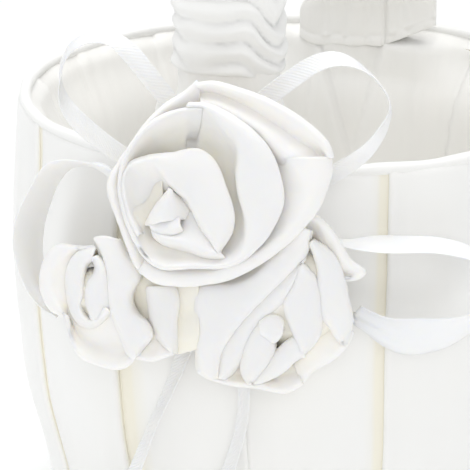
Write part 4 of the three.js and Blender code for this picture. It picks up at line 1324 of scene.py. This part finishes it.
            (11.6, [(-0.3, -5.7), (0, -8.2), (-1.7, -13), (-4.9, -17.8)]),
            (8.5, [(0.7, -6), (0.9, -8.7), (-0.9, -13.4), (-4.3, -18.3)]),
        ],
        "low_leaf": [
            (8.5, [(-4.2, -17.4), (-0.3, -11.5), (2.9, -8.2), (5.9, -5.9)]),
            (11.3, [(-4.9, -17.9), (-1.6, -14.1), (1.1, -10.6), (3.8, -7.9), (6.2, -6.2)]),
            (11.9, [(-4.8, -18.2), (-0.7, -14.7), (2.9, -11.5), (7.3, -8.5)]),
            (11.6, [(-4.9, -18.3), (0.2, -15.6), (3.8, -12.9), (7.4, -10.2), (8.2, -10.1)]),
            (8.5, [(-4.5, -18.7), (0.7, -16.2), (4.3, -13.5), (8, -10.8)]),
        ],
        "outer_right": [
            (7.8, [(9.1, 18.5), (12.3, 12.6), (12.3, 7.2), (13, 0.4), (15.6, -3.3), (18.3, -7.8)]),
            (10.7, [(9.8, 18.9), (11.8, 12.4), (11.8, 7.2), (12.4, 0.8), (14.7, -2.3), (17, -6.2),
                (18.5, -7.6)]),
            (11.9, [(10.1, 19.2), (14.3, 12.6), (15.7, 7.2), (16.6, 2.2), (17.5, -2.3), (18.4, -7.1)]),
            (10.9, [(10.4, 19.4), (14.5, 16.4), (17.5, 10.8), (18.9, 4.9), (19.9, -0.5), (19.4, -4.6),
                (18.6, -7.6)]),
            (7.8, [(10.7, 19.8), (15.2, 16.8), (18.3, 11.1), (19.7, 5), (20.7, -0.6), (20.2, -4.8),
                (19.2, -7.9)]),
        ],
        "back_right": [
            (6.6, [(8.3, 19.4), (10.2, 20.7), (12.9, 16.7), (14.7, 12.6), (16.5, 10.3), (17.4, 9.6)]),
            (8.5, [(7.4, 21.6), (10.2, 23.9), (13.9, 19.8), (16.5, 15.3), (18.3, 12.1), (20.3, 11),
                (19.4, 10.2), (17.9, 9.7)]),
            (9.7, [(6.6, 22.6), (10.2, 25.5), (14.7, 22.1), (17.9, 17.1), (20.6, 13.5), (23.7, 11.1),
                (21.9, 10.1), (18.3, 9.6)]),
            (9, [(6.2, 23), (10.2, 26.1), (15, 22.5), (18.3, 17.5), (20.9, 14), (24.3, 11.3), (22.2, 9.5),
                (18.4, 9.1)]),
        ],
        "bottom_bowl": [
            (6.6, [(-14.7, -12.3), (-10.2, -12.3), (-3.4, -14.6), (3.4, -13.7), (8.3, -11)]),
            (7.6, [(-16.6, -14.6), (-12.5, -15.7), (-5.7, -16.8), (2, -17.1), (7.4, -14.6)]),
            (10.1, [(-19.2, -14.8), (-17, -16.3), (-14.3, -17.4), (-6.1, -18.7), (-1.2, -19.4), (3.4, -20),
                (7.7, -17.9)]),
            (9.2, [(-19.5, -15.3), (-17.2, -16.8), (-14.4, -17.9), (-6.2, -19.3), (-1.2, -19.9),
                (3.5, -20.6), (8.1, -18.3)]),
        ],
        "side_low": [
            (6.6, [(5.6, -11.9), (9.3, -7.8), (12.9, -4.2), (17.4, -3.3)]),
            (8.5, [(7, -15.9), (9.7, -12.3), (13.3, -9.1), (17.4, -6.4), (19.2, -4.2)]),
            (8.8, [(7.5, -17.9), (10.4, -14.6), (14.3, -11.9), (18.3, -8.7), (20.7, -4.2)]),
            (8, [(7.9, -18.3), (10.8, -15), (14.8, -12.4), (18.9, -9), (21.2, -4.4)]),
        ],
    },
}
PETAL_T = 0.75  # thickness
CORE_T = 0.5
FELT_T = 1.1
CLIP = 0.9  # how far above its felt a petal's root is held
SMALLEST_SHEET = 10.2  # a petal narrower than this, along or across, is listed apart from the others
# The gathered roots of each rose's petals, which close its hollows: middle, height and radius.
CORES = {"large": ((-3.5, -1), 7.6, 16), "left": ((-3.3, 1.5), 10.8, 7), "right": ((5.5, 4.5), 10.4, 13.5)}
FLOORED = {("large", "bowl")}  # petals whose roots turn in as a floor, and don't go down to the felt


def rose_axes(rose):
    """A rose's own right and up, and the way it faces."""
    around, up = (math.radians(v) for v in ROSES[rose][2])
    face = np.array([math.sin(around) * math.cos(up), -math.cos(around) * math.cos(up), math.sin(up)])
    right = np.array([math.cos(around), math.sin(around), 0.0])
    return right, np.cross(face, right), face


def seen(rose, row, height):
    """The points at one height above a rose's felt that look to be at the places in row."""
    middle, level, _, _ = ROSES[rose]
    right, up, face = rose_axes(rose)
    looks = np.array([SEEN_RIGHT, SEEN_UP])
    plane = looks @ np.stack([right, up], axis=1)
    lean = looks @ face
    h = np.broadcast_to(np.asarray(height, float), (len(row),)) - level
    xy = np.linalg.solve(plane, (np.array(row, float) - h[:, None] * lean).T).T
    return np.array(middle) + xy[:, :1] * right + xy[:, 1:] * up + h[:, None] * face


def make_core(rose):
    """The low, puckered cushion of cloth between the roots of a rose's petals."""
    (x, y), height, radius = CORES[rose]
    turns = circle(90)
    out = np.stack([np.cos(turns), np.sin(turns)], axis=1)
    pucker = noise_along(2.6 * out[:, 0], 2.6 * out[:, 1], height)
    rows = []
    for t in np.linspace(0.03, 1, 20):
        rows.append(seen(rose, (x, y) + t * radius * out, height - 5 * t**6 + 1.6 * pucker * t))
    grid = np.array(rows)
    # Its colour is painted shade, warmer and darker than the petals, for the shade between their roots.
    piece = cloth(f"rose_{rose}_core", grid, CORE_T, ROSE_HOLLOW_SHADE, wrap=True)
    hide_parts(f"rose_{rose}_bud")


def make_rose(rose):
    """A rose's petals and its felt. The small petals are listed apart from the others."""
    made, small = [], []
    for k, (name, rows) in enumerate(PETALS[rose].items()):
        places = [seen(rose, row, h) for h, row in rows]
        root = np.array(rows[0][1])
        if (rose, name) in FLOORED:
            middle = root.mean(axis=0)
            places.insert(0, seen(rose, middle + 0.66 * (root - middle), rows[0][0] + CLIP))
        else:
            places.insert(0, seen(rose, root * 0.8, CLIP))
        long = max(chords(p)[-1] for p in places)
        grid = loft(places, int(long / STEP) + 8, 40)
        bumps = 0.3 * noise_at(grid, 7, k * 3.1) + 0.12 * noise_at(grid, 2.6, k * 5.3)
        grid = grid + normals(grid) * bumps[..., None]
        # The recess petal takes the cores' colour: painted shade for the recess it lies in.
        piece = cloth(f"rose_{rose}_{name}", grid, PETAL_T, ROSE_HOLLOW_SHADE if name == "recess" else ROSE)
        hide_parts(*[f"rose_{rose}_{node}" for node in PETAL_NODES[rose][name]])
        line = float(lengths(grid, False)[0][:, -1].mean())
        if min(line, area_of(grid) / line) < SMALLEST_SHEET:
            small.append(piece)
        else:
            made.append((piece, grid))
    right, up, face = rose_axes(rose)
    middle, level, _, radius = ROSES[rose]
    centre = np.array(middle) - face * (level - 0.6)
    base = f"rose_{rose}_base"
    disc(f"rose_{rose}_felt", base, "felt", centre, (right, up), radius, FELT_T)


for rose_name in ROSES:
    make_rose(rose_name)
    make_core(rose_name)
